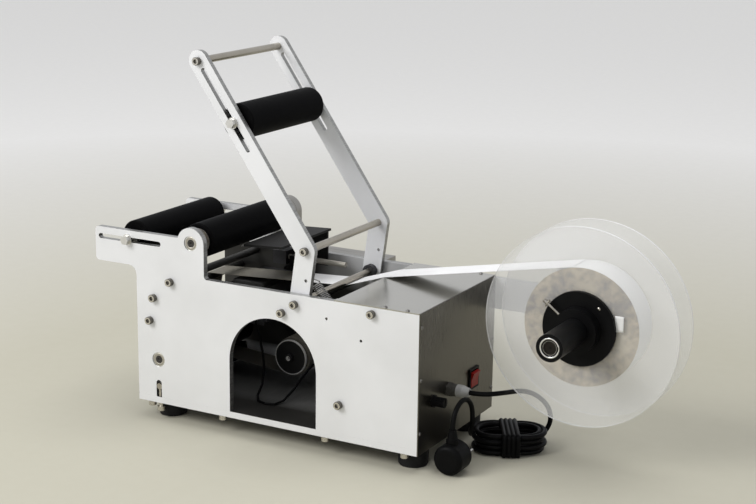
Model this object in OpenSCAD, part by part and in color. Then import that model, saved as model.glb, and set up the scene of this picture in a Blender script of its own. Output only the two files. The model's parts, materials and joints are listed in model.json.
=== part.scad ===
// Desktop labeling machine for round bottles, in millimetres, +Z up.
// X runs along the machine towards the label reel, Y from the operator to the back.
// The machine is laid out from the front left lower corner of the base plate,
// then moved so that the origin is under the middle of the whole machine, on the table.

/* [Body] */
// Length of the side plates and the base
body_l = 400; // [390:1:430]
// Width over both side plates
body_w = 205; // [200:1:225]
// Height of the long top edge over the underside of the base
plate_h = 172; // [168:1:190]
// Thickness of each side plate
plate_t = 8; // [6:0.5:9]
// Thickness of the base plate
base_t = 8; // [6:0.5:10]
// Thickness of the cover and panel sheets
sheet_t = 1.5; // [1:0.1:2.5]
// Distance from the left end to the left edge of the top cover
cover_x = 287; // [275:1:310]

/* [Arch] */
// Middle of the arch from the left end
arch_x = 201; // [190:1:210]
// Radius of the arch
arch_r = 62; // [50:1:64]
// Height of the straight sides of the arch over the base plate
arch_side_h = 67; // [50:1:70]

/* [Lugs and slotted arms] */
// Axis of the driven roller from the left end
lug_x = 83; // [80:0.5:90]
// Axis of the driven roller over the long top edge
lug_rise = 43; // [40:0.5:50]
// Radius of the bearing lugs
lug_r = 19.5; // [18:0.5:22]
// Reach of the slotted arms past the left end
slot_arm_l = 63; // [55:1:80]
// Top of the slotted arms over the long top edge
slot_arm_rise = 48; // [46:0.5:52]
// Height of the slotted arms
slot_arm_h = 44; // [36:1:50]
// Middle of the slots over the long top edge
slot_rise = 36; // [32:0.5:38]
// Length of the slots
slot_l = 96; // [80:1:100]
// Distance from the tip of a slotted arm to its slot
slot_edge = 5; // [4:0.5:8]

/* [Rollers] */
// Diameter of the driven roller
drive_roller_d = 44; // [40:0.5:46]
// Diameter of the idle roller
idle_roller_d = 42; // [36:0.5:46]
// Diameter of the press roller
press_roller_d = 44; // [36:0.5:48]
// Diameter of the pull roller
pull_roller_d = 44; // [38:0.5:46]
// Diameter of the pinch roller
pinch_roller_d = 25; // [20:0.5:26]
// Thickness of the rubber on the driven and pull rollers
rubber_t = 6; // [3:0.5:8]
// Diameter of the turning shafts
shaft_d = 10; // [8:0.5:11]
// Diameter of the fixed axles
axle_d = 8; // [6:0.5:9]
// Outer diameter of the ball bearings
bearing_d = 19; // [17:0.5:21]
// Idle roller axle from the left end, as set in its slots
idle_x = -13; // [-40:1:10]
// Gap between the inner faces of the plates and the rollers
roller_gap = 10; // [9.5:0.5:14]

/* [Press arm] */
// Pivot of the press arm from the left end
pivot_x = 233; // [225:1:245]
// Pivot of the press arm under the long top edge
pivot_drop = 12; // [11:0.5:16]
// Diameter of the pivot rod
pivot_rod_d = 8; // [7:0.5:10]
// Width of the arm bars
arm_w = 26; // [22:0.5:28]
// Thickness of the arm bars
arm_t = 7; // [5:0.5:7.5]
// Gap between the arm bars and the side plates
arm_gap = 1; // [0.5:0.1:1.2]
// Pivot to bend
arm_lower_l = 65; // [60:1:75]
// Bend to handle rod
arm_upper_l = 262; // [240:1:280]
// Lean of the lower part towards the reel
arm_lower_lean = 8; // [4:0.5:10]
// Lean of the upper part towards the rollers
arm_upper_lean = 35; // [30:0.5:38]
// Diameter of the handle rod and the middle rod
arm_rod_d = 9; // [8:0.5:11]
// Bend to the lower end of the roller slot
arm_slot_start = 136; // [120:1:140]
// Length of the roller slots in the arms
arm_slot_l = 116; // [100:1:118]
// Bend to the press roller axle, as set in its slots
press_at = 176; // [150:1:220]

/* [Return spring] */
// Wire of the return spring
spring_wire = 1.2; // [0.8:0.1:1.3]
// Outer diameter of the coils
spring_d = 13; // [10:0.5:14]
// Number of coils
spring_turns = 16; // [10:1:16]
// Hook hole in the arm under the bend
hook_drop = 36; // [34:0.5:40]
// Spring post from the pivot, towards the reel
post_reach = 44; // [42:0.5:48]
// Spring post under the long top edge
post_drop = 23; // [21:0.5:27]

/* [Label path] */
// Width of the label web
label_w = 43; // [30:1:44]
// Near edge of the web from the front face
web_y = 120.5; // [110:0.5:122]
// Thickness of the web
web_t = 0.4; // [0.3:0.1:0.6]
// Tip of the peel plate from the left end
peel_x = 108; // [107:0.5:115]
// Tip of the peel plate over the long top edge
peel_rise = 27.5; // [25:0.5:30]
// Length of the peel plate along the machine
peel_l = 60; // [40:1:62]
// Width of the peel plate from the rear side plate
peel_w = 122; // [100:1:130]
// Thickness of the peel plate
peel_t = 3; // [2:0.5:4]
// Diameter of the cross rods
cross_rod_d = 10; // [8:0.5:11]

/* [Feed rollers and take-up spool] */
// Pull roller from the left end
pull_x = 31.5; // [30:0.5:36]
// Pull roller over the base plate
pull_rise = 49.5; // [48:0.5:56]
// Room between the pull roller and the pinch roller
nip = 1.2; // [1:0.1:2]
// Take-up spool from the left end
takeup_x = 157; // [150:1:175]
// Take-up spool over the base plate
takeup_rise = 42; // [38:1:46]
// Diameter of the wound liner
liner_d = 50; // [36:1:56]
// Diameter of the spool mandrel
mandrel_d = 24; // [18:1:30]

/* [Drive] */
// Motor from the left end
motor_x = 88; // [80:1:90]
// Motor axis over the base plate
motor_rise = 104; // [98:1:104]
// Side of the square motor body
motor_side = 57; // [42:1:57]
// Length of the motor body
motor_l = 76; // [50:1:80]
// Depth of the belt cover behind the rear side plate
belt_cover_d = 26; // [25:0.5:30]
// Right edge of the belt cover from the left end
belt_cover_x = 246; // [244:1:247]
// Diameter of the pulleys on the driven roller and the pull roller
pulley_d = 28; // [24:0.5:30]
// Diameter of the motor pulley
motor_pulley_d = 20; // [16:0.5:22]
// Diameter of the take-up pulley
takeup_pulley_d = 24; // [20:0.5:28]

/* [Reel] */
// Reel axis past the right end
reel_reach = 150; // [140:1:170]
// Reel axis under the long top edge
reel_drop = 22; // [22:0.5:24]
// Diameter of the clear discs
disc_d = 241; // [200:1:250]
// Thickness of the clear discs
disc_t = 3; // [2:0.5:4]
// Outer diameter of the label roll
roll_d = 143; // [110:1:180]
// Inner diameter of the label roll core
core_d = 76; // [74:0.5:80]
// Diameter of the reel tube
tube_d = 32.5; // [30:0.5:36]
// Length of the reel tube in front of the front disc
tube_nose = 91; // [80:1:95]
// Diameter of the steel reel shaft
reel_shaft_d = 16; // [12:0.5:18]
// Diameter of the flange of the clamping collar
collar_d = 90; // [80:1:100]
// Height of the support bar
bar_h = 40; // [36:1:42]
// Thickness of the support bar
bar_t = 8; // [6:0.5:10]

/* [Feet and panel] */
// Diameter of the rubber feet
foot_d = 38; // [30:1:40]
// Height of the rubber feet
foot_h = 22; // [18:1:26]
// Middle of the feet from the front and the back
foot_inset = 31; // [30:1:40]
// Rocker switch over the base plate
switch_rise = 47.5; // [44:0.5:60]
// Cable gland over the base plate
gland_rise = 53; // [48:0.5:56]
// Fuse holder over the base plate
fuse_rise = 50; // [46:0.5:60]
// Rocker switch from the front face
switch_y = 146; // [135:1:160]
// Cable gland from the front face
gland_y = 78; // [70:1:90]
// Fuse holder from the front face
fuse_y = 37; // [32:1:45]

/* [Screws and fits] */
// Thread of the cap screws
screw_d = 6; // [5:0.5:6.5]
// Radial room of a running shaft in its bore
running = 0.05; // [0.02:0.01:0.09]
// Room between pieces that pass each other
clear = 0.3; // [0.2:0.05:0.5]

/* [Cord] */
// Diameter of the mains cord
cord_d = 6; // [5:0.5:6.5]

/* [Hidden] */
$fn = 64;
cut = 1;

// Planes across the machine
front_in = plate_t;
rear_in = body_w - plate_t;
rear_out = body_w;
arm_front = front_in + arm_gap;
arm_front_in = arm_front + arm_t;
arm_rear_in = rear_in - arm_gap - arm_t;
arm_rear = rear_in - arm_gap;
roller_y0 = front_in + roller_gap;
roller_y1 = rear_in - roller_gap;

// Screws
head_d = screw_d * 10 / 6;
head_h = screw_d;
washer_t = 1.5;
washer_d = screw_d * 14 / 6;
slot_w = screw_d + 0.5;
screw_hole_d = screw_d + 0.2;
head_edge = screw_d / 10;
small_head_d = 5;
small_head_h = 1.2;
small_socket_d = 2.4;
small_hole_d = 3.4;

// Axes
lug_z = plate_h + lug_rise;
step_x = lug_x + lug_r;
slot_z = plate_h + slot_rise;
slot_x0 = slot_edge - slot_arm_l;
pivot_z = plate_h - pivot_drop;
pull_z = base_t + pull_rise;
pinch_z = pull_z - pull_roller_d / 2 - nip - pinch_roller_d / 2;
pinch_travel = 4.5;
takeup_z = base_t + takeup_rise;
motor_z = base_t + motor_rise;
reel_x = body_l + reel_reach;
reel_z = plate_h - reel_drop;
switch_z = base_t + switch_rise;
gland_z = base_t + gland_rise;
fuse_z = base_t + fuse_rise;

// Cross rods: three guides, the web guide and two ties
guides = [[52, plate_h - 10], [26, plate_h - 34], [20, plate_h - 64]];
web_guide = [pivot_x - 18, pivot_z - 13];
upper_tie = [body_l - 62, plate_h - 8];
lower_tie = [body_l - 105, base_t + 37];
cross_places = concat(guides, [web_guide, upper_tie, lower_tie]);

// Arm outline: pivot, bend and handle
bend_x = pivot_x + arm_lower_l * sin(arm_lower_lean);
bend_z = pivot_z + arm_lower_l * cos(arm_lower_lean);
arm_dir = [-sin(arm_upper_lean), cos(arm_upper_lean)];
handle_x = bend_x + arm_upper_l * arm_dir[0];
handle_z = bend_z + arm_upper_l * arm_dir[1];
press_x = bend_x + press_at * arm_dir[0];
press_z = bend_z + press_at * arm_dir[1];

// Return spring: hook hole in the arms, post on the front plate and a spare hole beside it
hook = [bend_x + 1, bend_z - hook_drop];
hook_hole_d = 4;
post = [pivot_x + post_reach, plate_h - post_drop];
post_d = 4;
spare_hole = [pivot_x + 91, plate_h - 43];
spring_y = arm_front_in + spring_d / 2 + 0.5;

// Reel planes
rear_disc_y = web_y + label_w + 0.5;
front_disc_y = web_y - 0.5 - disc_t;
tube_y0 = front_disc_y - tube_nose;
tube_y1 = rear_out - 9;
collar_t = 5;
boss_l = 14;
boss_d = 54;
bar_x0 = belt_cover_x + 6;

// Belt planes behind the rear plate
takeup_belt_y = rear_out + 1.5;
takeup_belt_b = 5;
belt_y = rear_out + 9;
belt_b = 8;
belt_t = 1.5;
flange_t = 1;
flange_h = 1.6;

// Place of the origin: middle of the machine, on the table
front_most = -washer_t - head_h;
rear_most = rear_out + belt_cover_d;
mid_x = (reel_x + disc_d / 2 - slot_arm_l) / 2;
mid_y = (front_most + rear_most) / 2;

module placed() {
  translate([-mid_x, -mid_y, foot_h]) children();
}

// Round bar along Y
module y_bar(x, z, y0, y1, d) {
  translate([x, y0, z]) rotate([-90, 0, 0]) cylinder(h = y1 - y0, d = d);
}

// Round bar along X
module x_bar(y, z, x0, x1, d) {
  translate([x0, y, z]) rotate([0, 90, 0]) cylinder(h = x1 - x0, d = d);
}

// Ring along Y
module y_ring(x, z, y0, y1, d_out, d_in) {
  difference() {
    y_bar(x, z, y0, y1, d_out);
    y_bar(x, z, y0 - cut, y1 + cut, d_in);
  }
}

// Plate of thickness t from y0, from an outline in X and Z
module y_plate(y0, t) {
  translate([0, y0 + t, 0]) rotate([90, 0, 0]) linear_extrude(t) children();
}

// Slot through a plate along Y, from one point to another
module y_slot(p, q, w, y0, y1) {
  run = norm(q - p);
  turn = atan2(q[1] - p[1], q[0] - p[0]);
  for (c = [p, q]) y_bar(c[0], c[1], y0, y1, w);
  translate([p[0], y0, p[1]]) rotate([0, -turn, 0]) translate([0, 0, -w / 2]) cube([run, y1 - y0, w]);
}

// Socket head cap screw, head outwards along Z from 0, thread downwards
module cap_screw(thread_l) {
  socket = screw_d * 5 / 6;
  difference() {
    union() {
      cylinder(h = head_h - head_edge, d = head_d);
      translate([0, 0, head_h - head_edge])
        cylinder(h = head_edge, d1 = head_d, d2 = head_d - 2 * head_edge);
    }
    translate([0, 0, head_h / 2]) cylinder(h = head_h, d = socket / cos(30), $fn = 6);
  }
  translate([0, 0, -thread_l]) cylinder(h = thread_l, d = screw_d);
}

// Hexagon bolt with its washer, head outwards along Z from 0
module hex_bolt(thread_l) {
  cylinder(h = washer_t, d = washer_d);
  translate([0, 0, washer_t]) cylinder(h = head_h, d = head_d / cos(30), $fn = 6);
  translate([0, 0, -thread_l]) cylinder(h = thread_l, d = screw_d);
}

// Turns what points along Z towards the operator or towards the back, at a point
module to_front(x, y, z) {
  translate([x, y, z]) rotate([90, 0, 0]) children();
}

module to_back(x, y, z) {
  translate([x, y, z]) rotate([-90, 0, 0]) children();
}

// Outline of a side plate without its holes
module side_outline() {
  corner = 5;
  under = plate_h + slot_arm_rise - slot_arm_h;
  top = plate_h + slot_arm_rise;
  under_r = 12;
  step_r = 4;
  lap = 0.01;
  translate([0, base_t]) square([body_l, plate_h - base_t]);
  translate([0, base_t]) square([lug_x, top - base_t]);
  translate([0, base_t]) square([step_x, lug_z - base_t]);
  translate([lug_x, lug_z]) circle(r = lug_r);
  translate([corner - slot_arm_l, under]) square([slot_arm_l, slot_arm_h]);
  translate([-slot_arm_l, under + corner]) square([slot_arm_l, slot_arm_h - 2 * corner]);
  for (z = [under + corner, top - corner]) translate([corner - slot_arm_l, z]) circle(r = corner);
  translate([-under_r, under - under_r]) difference() {
    square(under_r + lap);
    circle(r = under_r);
  }
  translate([step_x + step_r, plate_h + step_r]) difference() {
    translate([-step_r - lap, -step_r - lap]) square(step_r + lap);
    circle(r = step_r);
  }
}

// Holes that both side plates have, cut from y0 to y1
module side_holes(y0, y1) {
  y_bar(lug_x, lug_z, y0, y1, bearing_d);
  y_bar(pull_x, pull_z, y0, y1, bearing_d);
  y_slot([slot_x0 + slot_w / 2, slot_z], [slot_x0 + slot_l - slot_w / 2, slot_z], slot_w, y0, y1);
  y_slot([pull_x, base_t - axle_d], [pull_x, pinch_z + pinch_travel], axle_d + 2 * running, y0, y1);
  for (p = concat(cross_places, [[pivot_x, pivot_z]])) y_bar(p[0], p[1], y0, y1, screw_hole_d);
}

module front_side_plate() {
  color("gainsboro") placed() difference() {
    y_plate(0, plate_t) side_outline();
    side_holes(-cut, plate_t + cut);
    y_bar(arch_x, base_t + arch_side_h, -cut, plate_t + cut, 2 * arch_r);
    translate([arch_x - arch_r, -cut, 0]) cube([2 * arch_r, plate_t + 2 * cut, base_t + arch_side_h]);
    for (p = [post, spare_hole]) y_bar(p[0], p[1], -cut, plate_t + cut, small_hole_d);
  }
}

bar_screws = [bar_x0 + 20, body_l - 15];
motor_hole_d = 14;

module rear_side_plate() {
  color("gainsboro") placed() difference() {
    y_plate(rear_in, plate_t) side_outline();
    side_holes(rear_in - cut, rear_out + cut);
    y_bar(motor_x, motor_z, rear_in - cut, rear_out + cut, motor_hole_d);
    y_bar(takeup_x, takeup_z, rear_in - cut, rear_out + cut, bearing_d);
    for (x = bar_screws) y_bar(x, reel_z, rear_in - cut, rear_out + cut, screw_hole_d);
  }
}

// Base plate screws, along both plates
base_screw_x = [18, 126, body_l - 126, body_l - 18];
plate_mids = [plate_t / 2, body_w - plate_t / 2];

module base_plate() {
  color("lightgray") placed() difference() {
    cube([body_l, body_w, base_t]);
    for (y = plate_mids) {
      for (x = base_screw_x) translate([x, y, -cut]) cylinder(h = base_t + 2 * cut, d = screw_hole_d);
      translate([pull_x, y, -cut]) cylinder(h = base_t + 2 * cut, d = screw_hole_d);
    }
  }
}

module rubber_feet() {
  edge = 2;
  lower_d = foot_d - 2;
  hollow_h = 5;
  color("black") placed() for (x = [31, body_l - 20], y = [foot_inset, body_w - foot_inset])
    translate([x, y, -foot_h]) difference() {
      union() {
        cylinder(h = edge, d1 = lower_d - edge, d2 = lower_d);
        translate([0, 0, edge]) cylinder(h = foot_h - edge, d1 = lower_d, d2 = foot_d);
      }
      translate([0, 0, -cut]) cylinder(h = hollow_h + cut, d = foot_d / 2);
    }
}

// Post of the return spring: a stud in the front plate, a pin and a head
module spring_post() {
  pin_end = spring_y + 3;
  y_bar(post[0], post[1], 3, front_in, small_hole_d - 2 * running);
  y_bar(post[0], post[1], front_in, pin_end, post_d);
  y_bar(post[0], post[1], pin_end, pin_end + 2, post_d + 3);
}

module cap_screws() {
  through_bar = plate_t + bar_t;
  color("silver") placed() {
    for (p = concat(cross_places, [[pivot_x, pivot_z]])) to_front(p[0], 0, p[1]) cap_screw(plate_t);
    for (p = concat(guides, [web_guide, lower_tie, [pivot_x, pivot_z]]))
      to_back(p[0], rear_out, p[1]) cap_screw(plate_t);
    to_back(upper_tie[0], rear_out + bar_t, upper_tie[1]) cap_screw(through_bar);
    for (x = bar_screws) to_back(x, rear_out + bar_t, reel_z) cap_screw(through_bar);
    for (y = plate_mids) {
      for (x = base_screw_x) translate([x, y, 0]) rotate([180, 0, 0]) cap_screw(base_t);
      translate([pull_x, y, -5]) rotate([180, 0, 0]) cap_screw(pinch_z - axle_d / 2 + 5 - clear);
    }
    spring_post();
  }
}

// Sheets
fold_r = 2;
fold_h = 9;
cover_top = plate_h + sheet_t;

module top_cover() {
  y0 = front_in + clear;
  y1 = rear_in - clear;
  color("darkgray") placed() {
    translate([cover_x + fold_r, 0, plate_h]) cube([body_l - cover_x - fold_r, body_w, sheet_t]);
    translate([cover_x, 0, plate_h]) cube([fold_r, y0, sheet_t]);
    translate([cover_x, y1, plate_h]) cube([fold_r, body_w - y1, sheet_t]);
    translate([cover_x, y0, plate_h - fold_h]) cube([sheet_t, y1 - y0, fold_h + sheet_t - fold_r]);
    intersection() {
      y_ring(cover_x + fold_r, cover_top - fold_r, y0, y1, 2 * fold_r, 2 * (fold_r - sheet_t));
      translate([cover_x - cut, y0, cover_top - fold_r]) cube([fold_r + cut, y1 - y0, fold_r + cut]);
    }
  }
}

switch_w = 25;
switch_h = 26.5;
switch_hole_w = 22;
switch_hole_h = 23.5;
gland_thread_d = 12;
fuse_thread_d = 10;

module end_panel() {
  color("gray") placed() difference() {
    translate([body_l, 0, 0]) cube([sheet_t, body_w, cover_top]);
    translate([body_l - cut, switch_y - switch_hole_w / 2, switch_z - switch_hole_h / 2])
      cube([sheet_t + 2 * cut, switch_hole_w, switch_hole_h]);
    x_bar(gland_y, gland_z, body_l - cut, body_l + sheet_t + cut, gland_thread_d);
    x_bar(fuse_y, fuse_z, body_l - cut, body_l + sheet_t + cut, fuse_thread_d);
  }
}

module small_screw() {
  difference() {
    cylinder(h = small_head_h, d1 = small_head_d, d2 = small_head_d - 1);
    translate([0, 0, small_head_h / 2]) cylinder(h = small_head_h, d = small_socket_d, $fn = 6);
  }
}

module cover_screws() {
  panel_z = [base_t + 19, plate_h - 80, plate_h - 16];
  cover_screw_x = [body_l - 46, body_l - 17];
  color("silver") placed() for (y = plate_mids) {
    for (x = cover_screw_x) translate([x, y, cover_top]) small_screw();
    for (z = panel_z) translate([body_l + sheet_t, y, z]) rotate([0, 90, 0]) small_screw();
  }
}

// Outline of the belt cover, drawn in by i on every side
belt_cover_z = 20;
belt_wall = 2;

module belt_outline(i) {
  left = 6 + i;
  shoulder = lug_x - lug_r - 20;
  translate([left, belt_cover_z + i]) square([belt_cover_x - left - i, plate_h - belt_cover_z - 2 * i]);
  polygon([[shoulder + i, plate_h - i - cut], [lug_x - lug_r + i, lug_z], [step_x - i, lug_z],
           [step_x - i, plate_h - i - cut]]);
  translate([lug_x, lug_z]) circle(r = lug_r - i);
}

module belt_cover() {
  seam = 13;
  color("lightgray") placed() {
    difference() {
      y_plate(rear_out, seam - clear) belt_outline(0);
      y_plate(rear_out - cut, seam + 2 * cut) belt_outline(belt_wall);
    }
    difference() {
      y_plate(rear_out + seam, belt_cover_d - seam) belt_outline(0);
      y_plate(rear_out + seam - cut, belt_cover_d - seam - belt_wall + cut) belt_outline(belt_wall);
    }
  }
}

module cross_rods() {
  color("darkkhaki") placed() for (p = cross_places) y_bar(p[0], p[1], front_in, rear_in, cross_rod_d);
}

module pivot_rod() {
  color("darkkhaki") placed() y_bar(pivot_x, pivot_z, front_in, rear_in, pivot_rod_d);
}

module pivot_collar() {
  collar_l = 8;
  ring_t = 4.5;
  set_screw_d = 3.5;
  y1 = arm_rear_in - clear;
  color("dimgray") placed() difference() {
    y_ring(pivot_x, pivot_z, y1 - collar_l, y1, pivot_rod_d + 2 * ring_t, pivot_rod_d + running);
    translate([pivot_x, y1 - collar_l / 2, pivot_z + pivot_rod_d / 2 + 1])
      cylinder(h = 2 * ring_t, d = set_screw_d);
  }
}

// Unit vector
function unit(v) = v / norm(v);

// Direction of a route at point i
function heading(route, i) =
  unit(route[min(i + 1, len(route) - 1)] - route[max(i - 1, 0)]);

// Side vectors carried along a route without twist
function carried(route, i, side) =
  let (h = heading(route, i), s = unit(side - h * (side * h)))
  i == len(route) - 1 ? [s] : concat([s], carried(route, i + 1, s));

// Round tube along a route, as one closed solid of triangles
module tube(route, d, sides, first_side) {
  n = len(route);
  side = carried(route, 0, first_side);
  points = [
    for (i = [0 : n - 1])
      let (h = heading(route, i), s = side[i], t = cross(h, s))
      for (k = [0 : sides - 1])
        route[i] + (s * cos(360 * k / sides) + t * sin(360 * k / sides)) * d / 2
  ];
  walls = [
    for (i = [0 : n - 2], k = [0 : sides - 1])
      let (a = i * sides + k, b = i * sides + (k + 1) % sides)
      for (f = [[a, a + sides, b], [b, a + sides, b + sides]]) f
  ];
  start = [for (k = [1 : sides - 2]) [0, k, k + 1]];
  last = (n - 1) * sides;
  end = [for (k = [1 : sides - 2]) [last, last + k + 1, last + k]];
  polyhedron(points, concat(walls, start, end));
}

// Return spring: a straight end in the arm's hook hole, coils, and an eye round the post
spring_vector = [post[0] - hook[0], 0, post[1] - hook[1]];
spring_run = norm(spring_vector);
spring_along = unit(spring_vector);
spring_across = [-spring_along[2], 0, spring_along[0]];
spring_r = (spring_d - spring_wire) / 2;
spring_end = 8;
spring_steps = 8;
eye_r = post_d / 2 + clear + spring_wire / 2;

// Point s along the spring from the hook, v across it and w towards the back
function spring_point(s, v, w) =
  [hook[0], spring_y, hook[1]] + spring_along * s + spring_across * v + [0, w, 0];

spring_hook_end = [[0, 0, -13], [0, 0, -5], [0.3, 0.2, -3], [1.2, 0.8, -1.2], [2.8, 2, -0.3], [5, 4, 0]];
spring_coils = [
  for (i = [0 : spring_turns * spring_steps])
    let (a = 360 * i / spring_steps, f = i / (spring_turns * spring_steps))
    [spring_end + (spring_run - 2 * spring_end) * f, spring_r * cos(a), spring_r * sin(a)]
];
spring_eye = concat(
  [[spring_run - 5, 4.6, 0.6], [spring_run - 2.5, eye_r + 0.4, 0]],
  [for (a = [90 : -30 : -120]) [spring_run + eye_r * cos(a), eye_r * sin(a), 0]]);
spring_route = [for (p = concat(spring_hook_end, spring_coils, spring_eye)) spring_point(p[0], p[1], p[2])];

module return_spring() {
  color("silver") placed() tube(spring_route, spring_wire, 6, [1, 0, 0]);
}

// Ball bearings: inner race, outer race and the shield between them, as one turned ring each
module bearing(x, z, y0, b, d_out, d_in) {
  race = (d_out - d_in) / 6;
  shield_in = 0.5;
  difference() {
    y_ring(x, z, y0, y0 + b, d_out, d_in);
    for (y = [y0 - cut, y0 + b - shield_in])
      y_ring(x, z, y, y + shield_in + cut, d_out - 2 * race, d_in + 2 * race);
  }
}

bearing_b = 6;

module shaft_bearings() {
  inner = shaft_d + 2 * running;
  spots = [[lug_x, lug_z], [pull_x, pull_z]];
  color("silver") placed() {
    for (p = spots, y = [(plate_t - bearing_b) / 2, rear_in + (plate_t - bearing_b) / 2])
      bearing(p[0], p[1], y, bearing_b, bearing_d, inner);
    bearing(takeup_x, takeup_z, rear_in + (plate_t - bearing_b) / 2, bearing_b, bearing_d, inner);
  }
}

// Turned shaft with a lathe centre in its front end and a thicker core for the rubber
module roller_shaft(x, z, core_d, y_end) {
  y_start = 0.8;
  centre_d = 4;
  difference() {
    union() {
      y_bar(x, z, y_start, y_end, shaft_d);
      y_bar(x, z, roller_y0, roller_y1, core_d);
    }
    to_back(x, y_start, z) cylinder(h = centre_d / 2, d1 = centre_d, d2 = 0);
  }
}

pulley_end = belt_y + belt_b + flange_t;

module drive_roller_shaft() {
  color("silver") placed() roller_shaft(lug_x, lug_z, drive_roller_d - 2 * rubber_t, pulley_end);
}

module pull_roller_shaft() {
  color("silver") placed() roller_shaft(pull_x, pull_z, pull_roller_d - 2 * rubber_t, pulley_end);
}

// Rubber sleeve with rounded ends on a core
module sleeve(x, z, d_out, d_in, y0, y1) {
  round_r = 2;
  translate([x, y0, z]) rotate([-90, 0, 0]) rotate_extrude() {
    translate([d_in / 2, 0]) square([d_out / 2 - d_in / 2 - round_r, y1 - y0]);
    translate([d_in / 2, round_r]) square([d_out / 2 - d_in / 2, y1 - y0 - 2 * round_r]);
    for (h = [round_r, y1 - y0 - round_r]) translate([d_out / 2 - round_r, h]) circle(r = round_r);
  }
}

module drive_roller_sleeve() {
  color("black") placed()
    sleeve(lug_x, lug_z, drive_roller_d, drive_roller_d - 2 * rubber_t, roller_y0, roller_y1);
}

module pull_roller_sleeve() {
  color("dimgray") placed()
    sleeve(pull_x, pull_z, pull_roller_d, pull_roller_d - 2 * rubber_t, roller_y0, roller_y1);
}

// Belt pulley with two flanges on a shaft
module pulley(x, z, y0, b, d, bore) {
  difference() {
    union() {
      y_bar(x, z, y0 - flange_t, y0 + b + flange_t, d);
      for (y = [y0 - flange_t, y0 + b]) y_bar(x, z, y, y + flange_t, d + 2 * flange_h);
    }
    y_bar(x, z, y0 - flange_t - cut, y0 + b + flange_t + cut, bore);
  }
}

module drive_roller_pulley() {
  color("silver") placed() pulley(lug_x, lug_z, belt_y, belt_b, pulley_d, shaft_d);
}

module pull_roller_pulley() {
  color("silver") placed() {
    pulley(pull_x, pull_z, belt_y, belt_b, pulley_d, shaft_d);
    pulley(pull_x, pull_z, takeup_belt_y, takeup_belt_b, pulley_d, shaft_d);
  }
}

module takeup_pulley() {
  color("silver") placed()
    pulley(takeup_x, takeup_z, takeup_belt_y, takeup_belt_b, takeup_pulley_d, shaft_d);
}

motor_shaft_d = 8;
motor_bore = 20;

module motor_pulley() {
  color("silver") placed() {
    pulley(motor_x, motor_z, belt_y, belt_b, motor_pulley_d, motor_shaft_d);
    y_bar(motor_x, motor_z, rear_in - motor_bore + clear, pulley_end, motor_shaft_d);
  }
}

// Belt round the pulleys of a list of [x, z, diameter]
module belt(stops, y0, b) {
  y_plate(y0, b) difference() {
    hull() for (s = stops) translate([s[0], s[1]]) circle(d = s[2] + 2 * clear + 2 * belt_t, $fn = 40);
    hull() for (s = stops) translate([s[0], s[1]]) circle(d = s[2] + 2 * clear, $fn = 40);
  }
}

module drive_belts() {
  side_room = 0.4;
  color("black") placed() {
    belt([[lug_x, lug_z, pulley_d], [pull_x, pull_z, pulley_d], [motor_x, motor_z, motor_pulley_d]],
         belt_y + side_room, belt_b - 2 * side_room);
    belt([[pull_x, pull_z, pulley_d], [takeup_x, takeup_z, takeup_pulley_d]],
         takeup_belt_y + side_room, takeup_belt_b - 2 * side_room);
  }
}

module drive_motor() {
  corner = 5;
  side = motor_side - 2 * corner;
  color("dimgray") placed() difference() {
    translate([motor_x - motor_side / 2, rear_in - motor_l, motor_z - motor_side / 2]) {
      translate([corner, 0, 0]) cube([side, motor_l, motor_side]);
      translate([0, 0, corner]) cube([motor_side, motor_l, side]);
    }
    y_bar(motor_x, motor_z, rear_in - motor_bore, rear_in + cut, motor_shaft_d + 2 * running);
  }
}

// Idle roller: axle between the plates with a spacer at each end, clamped by a bolt in each slot
module idle_axle() {
  spacer_d = 14;
  spacer_l = 6;
  spacer_gap = 0.5;
  color("silver") placed() {
    y_bar(idle_x, slot_z, front_in + clear, rear_in - clear, axle_d);
    for (y = [roller_y0 - spacer_gap - spacer_l, roller_y1 + spacer_gap])
      y_bar(idle_x, slot_z, y, y + spacer_l, spacer_d);
    to_front(idle_x, 0, slot_z) hex_bolt(plate_t + clear);
    to_back(idle_x, rear_out, slot_z) hex_bolt(plate_t + clear);
  }
}

module idle_roller() {
  color("black") placed()
    sleeve(idle_x, slot_z, idle_roller_d, axle_d + 2 * running, roller_y0, roller_y1);
}

// Upper part of an arm along its own Z, from the bend at 0 to its round end, with the roller slot
module upper_bar() {
  slot_p = [0, arm_slot_start + slot_w / 2];
  slot_q = [0, arm_slot_start + arm_slot_l - slot_w / 2];
  difference() {
    union() {
      translate([-arm_w / 2, 0, 0]) cube([arm_w, arm_t, arm_upper_l]);
      y_bar(0, arm_upper_l, 0, arm_t, arm_w);
    }
    y_slot(slot_p, slot_q, slot_w, -cut, arm_t + cut);
    y_bar(0, arm_upper_l, -cut, arm_t + cut, screw_hole_d);
  }
}

// Bent arm bar from y0, with its pivot bore, rod hole and spring hole
module arm_bar(y0) {
  difference() {
    union() {
      translate([bend_x, y0, bend_z]) rotate([0, -arm_upper_lean, 0]) upper_bar();
      translate([pivot_x, y0, pivot_z]) rotate([0, arm_lower_lean, 0])
        translate([-arm_w / 2, 0, 0]) cube([arm_w, arm_t, arm_lower_l]);
      y_bar(bend_x, bend_z, y0, y0 + arm_t, arm_w);
      y_bar(pivot_x, pivot_z, y0, y0 + arm_t, arm_w);
    }
    y_bar(pivot_x, pivot_z, y0 - cut, y0 + arm_t + cut, pivot_rod_d + 2 * running);
    y_bar(bend_x, bend_z, y0 - cut, y0 + arm_t + cut, screw_hole_d);
    y_bar(hook[0], hook[1], y0 - cut, y0 + arm_t + cut, hook_hole_d);
  }
}

module front_press_arm() {
  color("gainsboro") placed() arm_bar(arm_front);
}

module rear_press_arm() {
  color("gainsboro") placed() arm_bar(arm_rear_in);
}

arm_rod_places = [[bend_x, bend_z], [handle_x, handle_z]];

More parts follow.
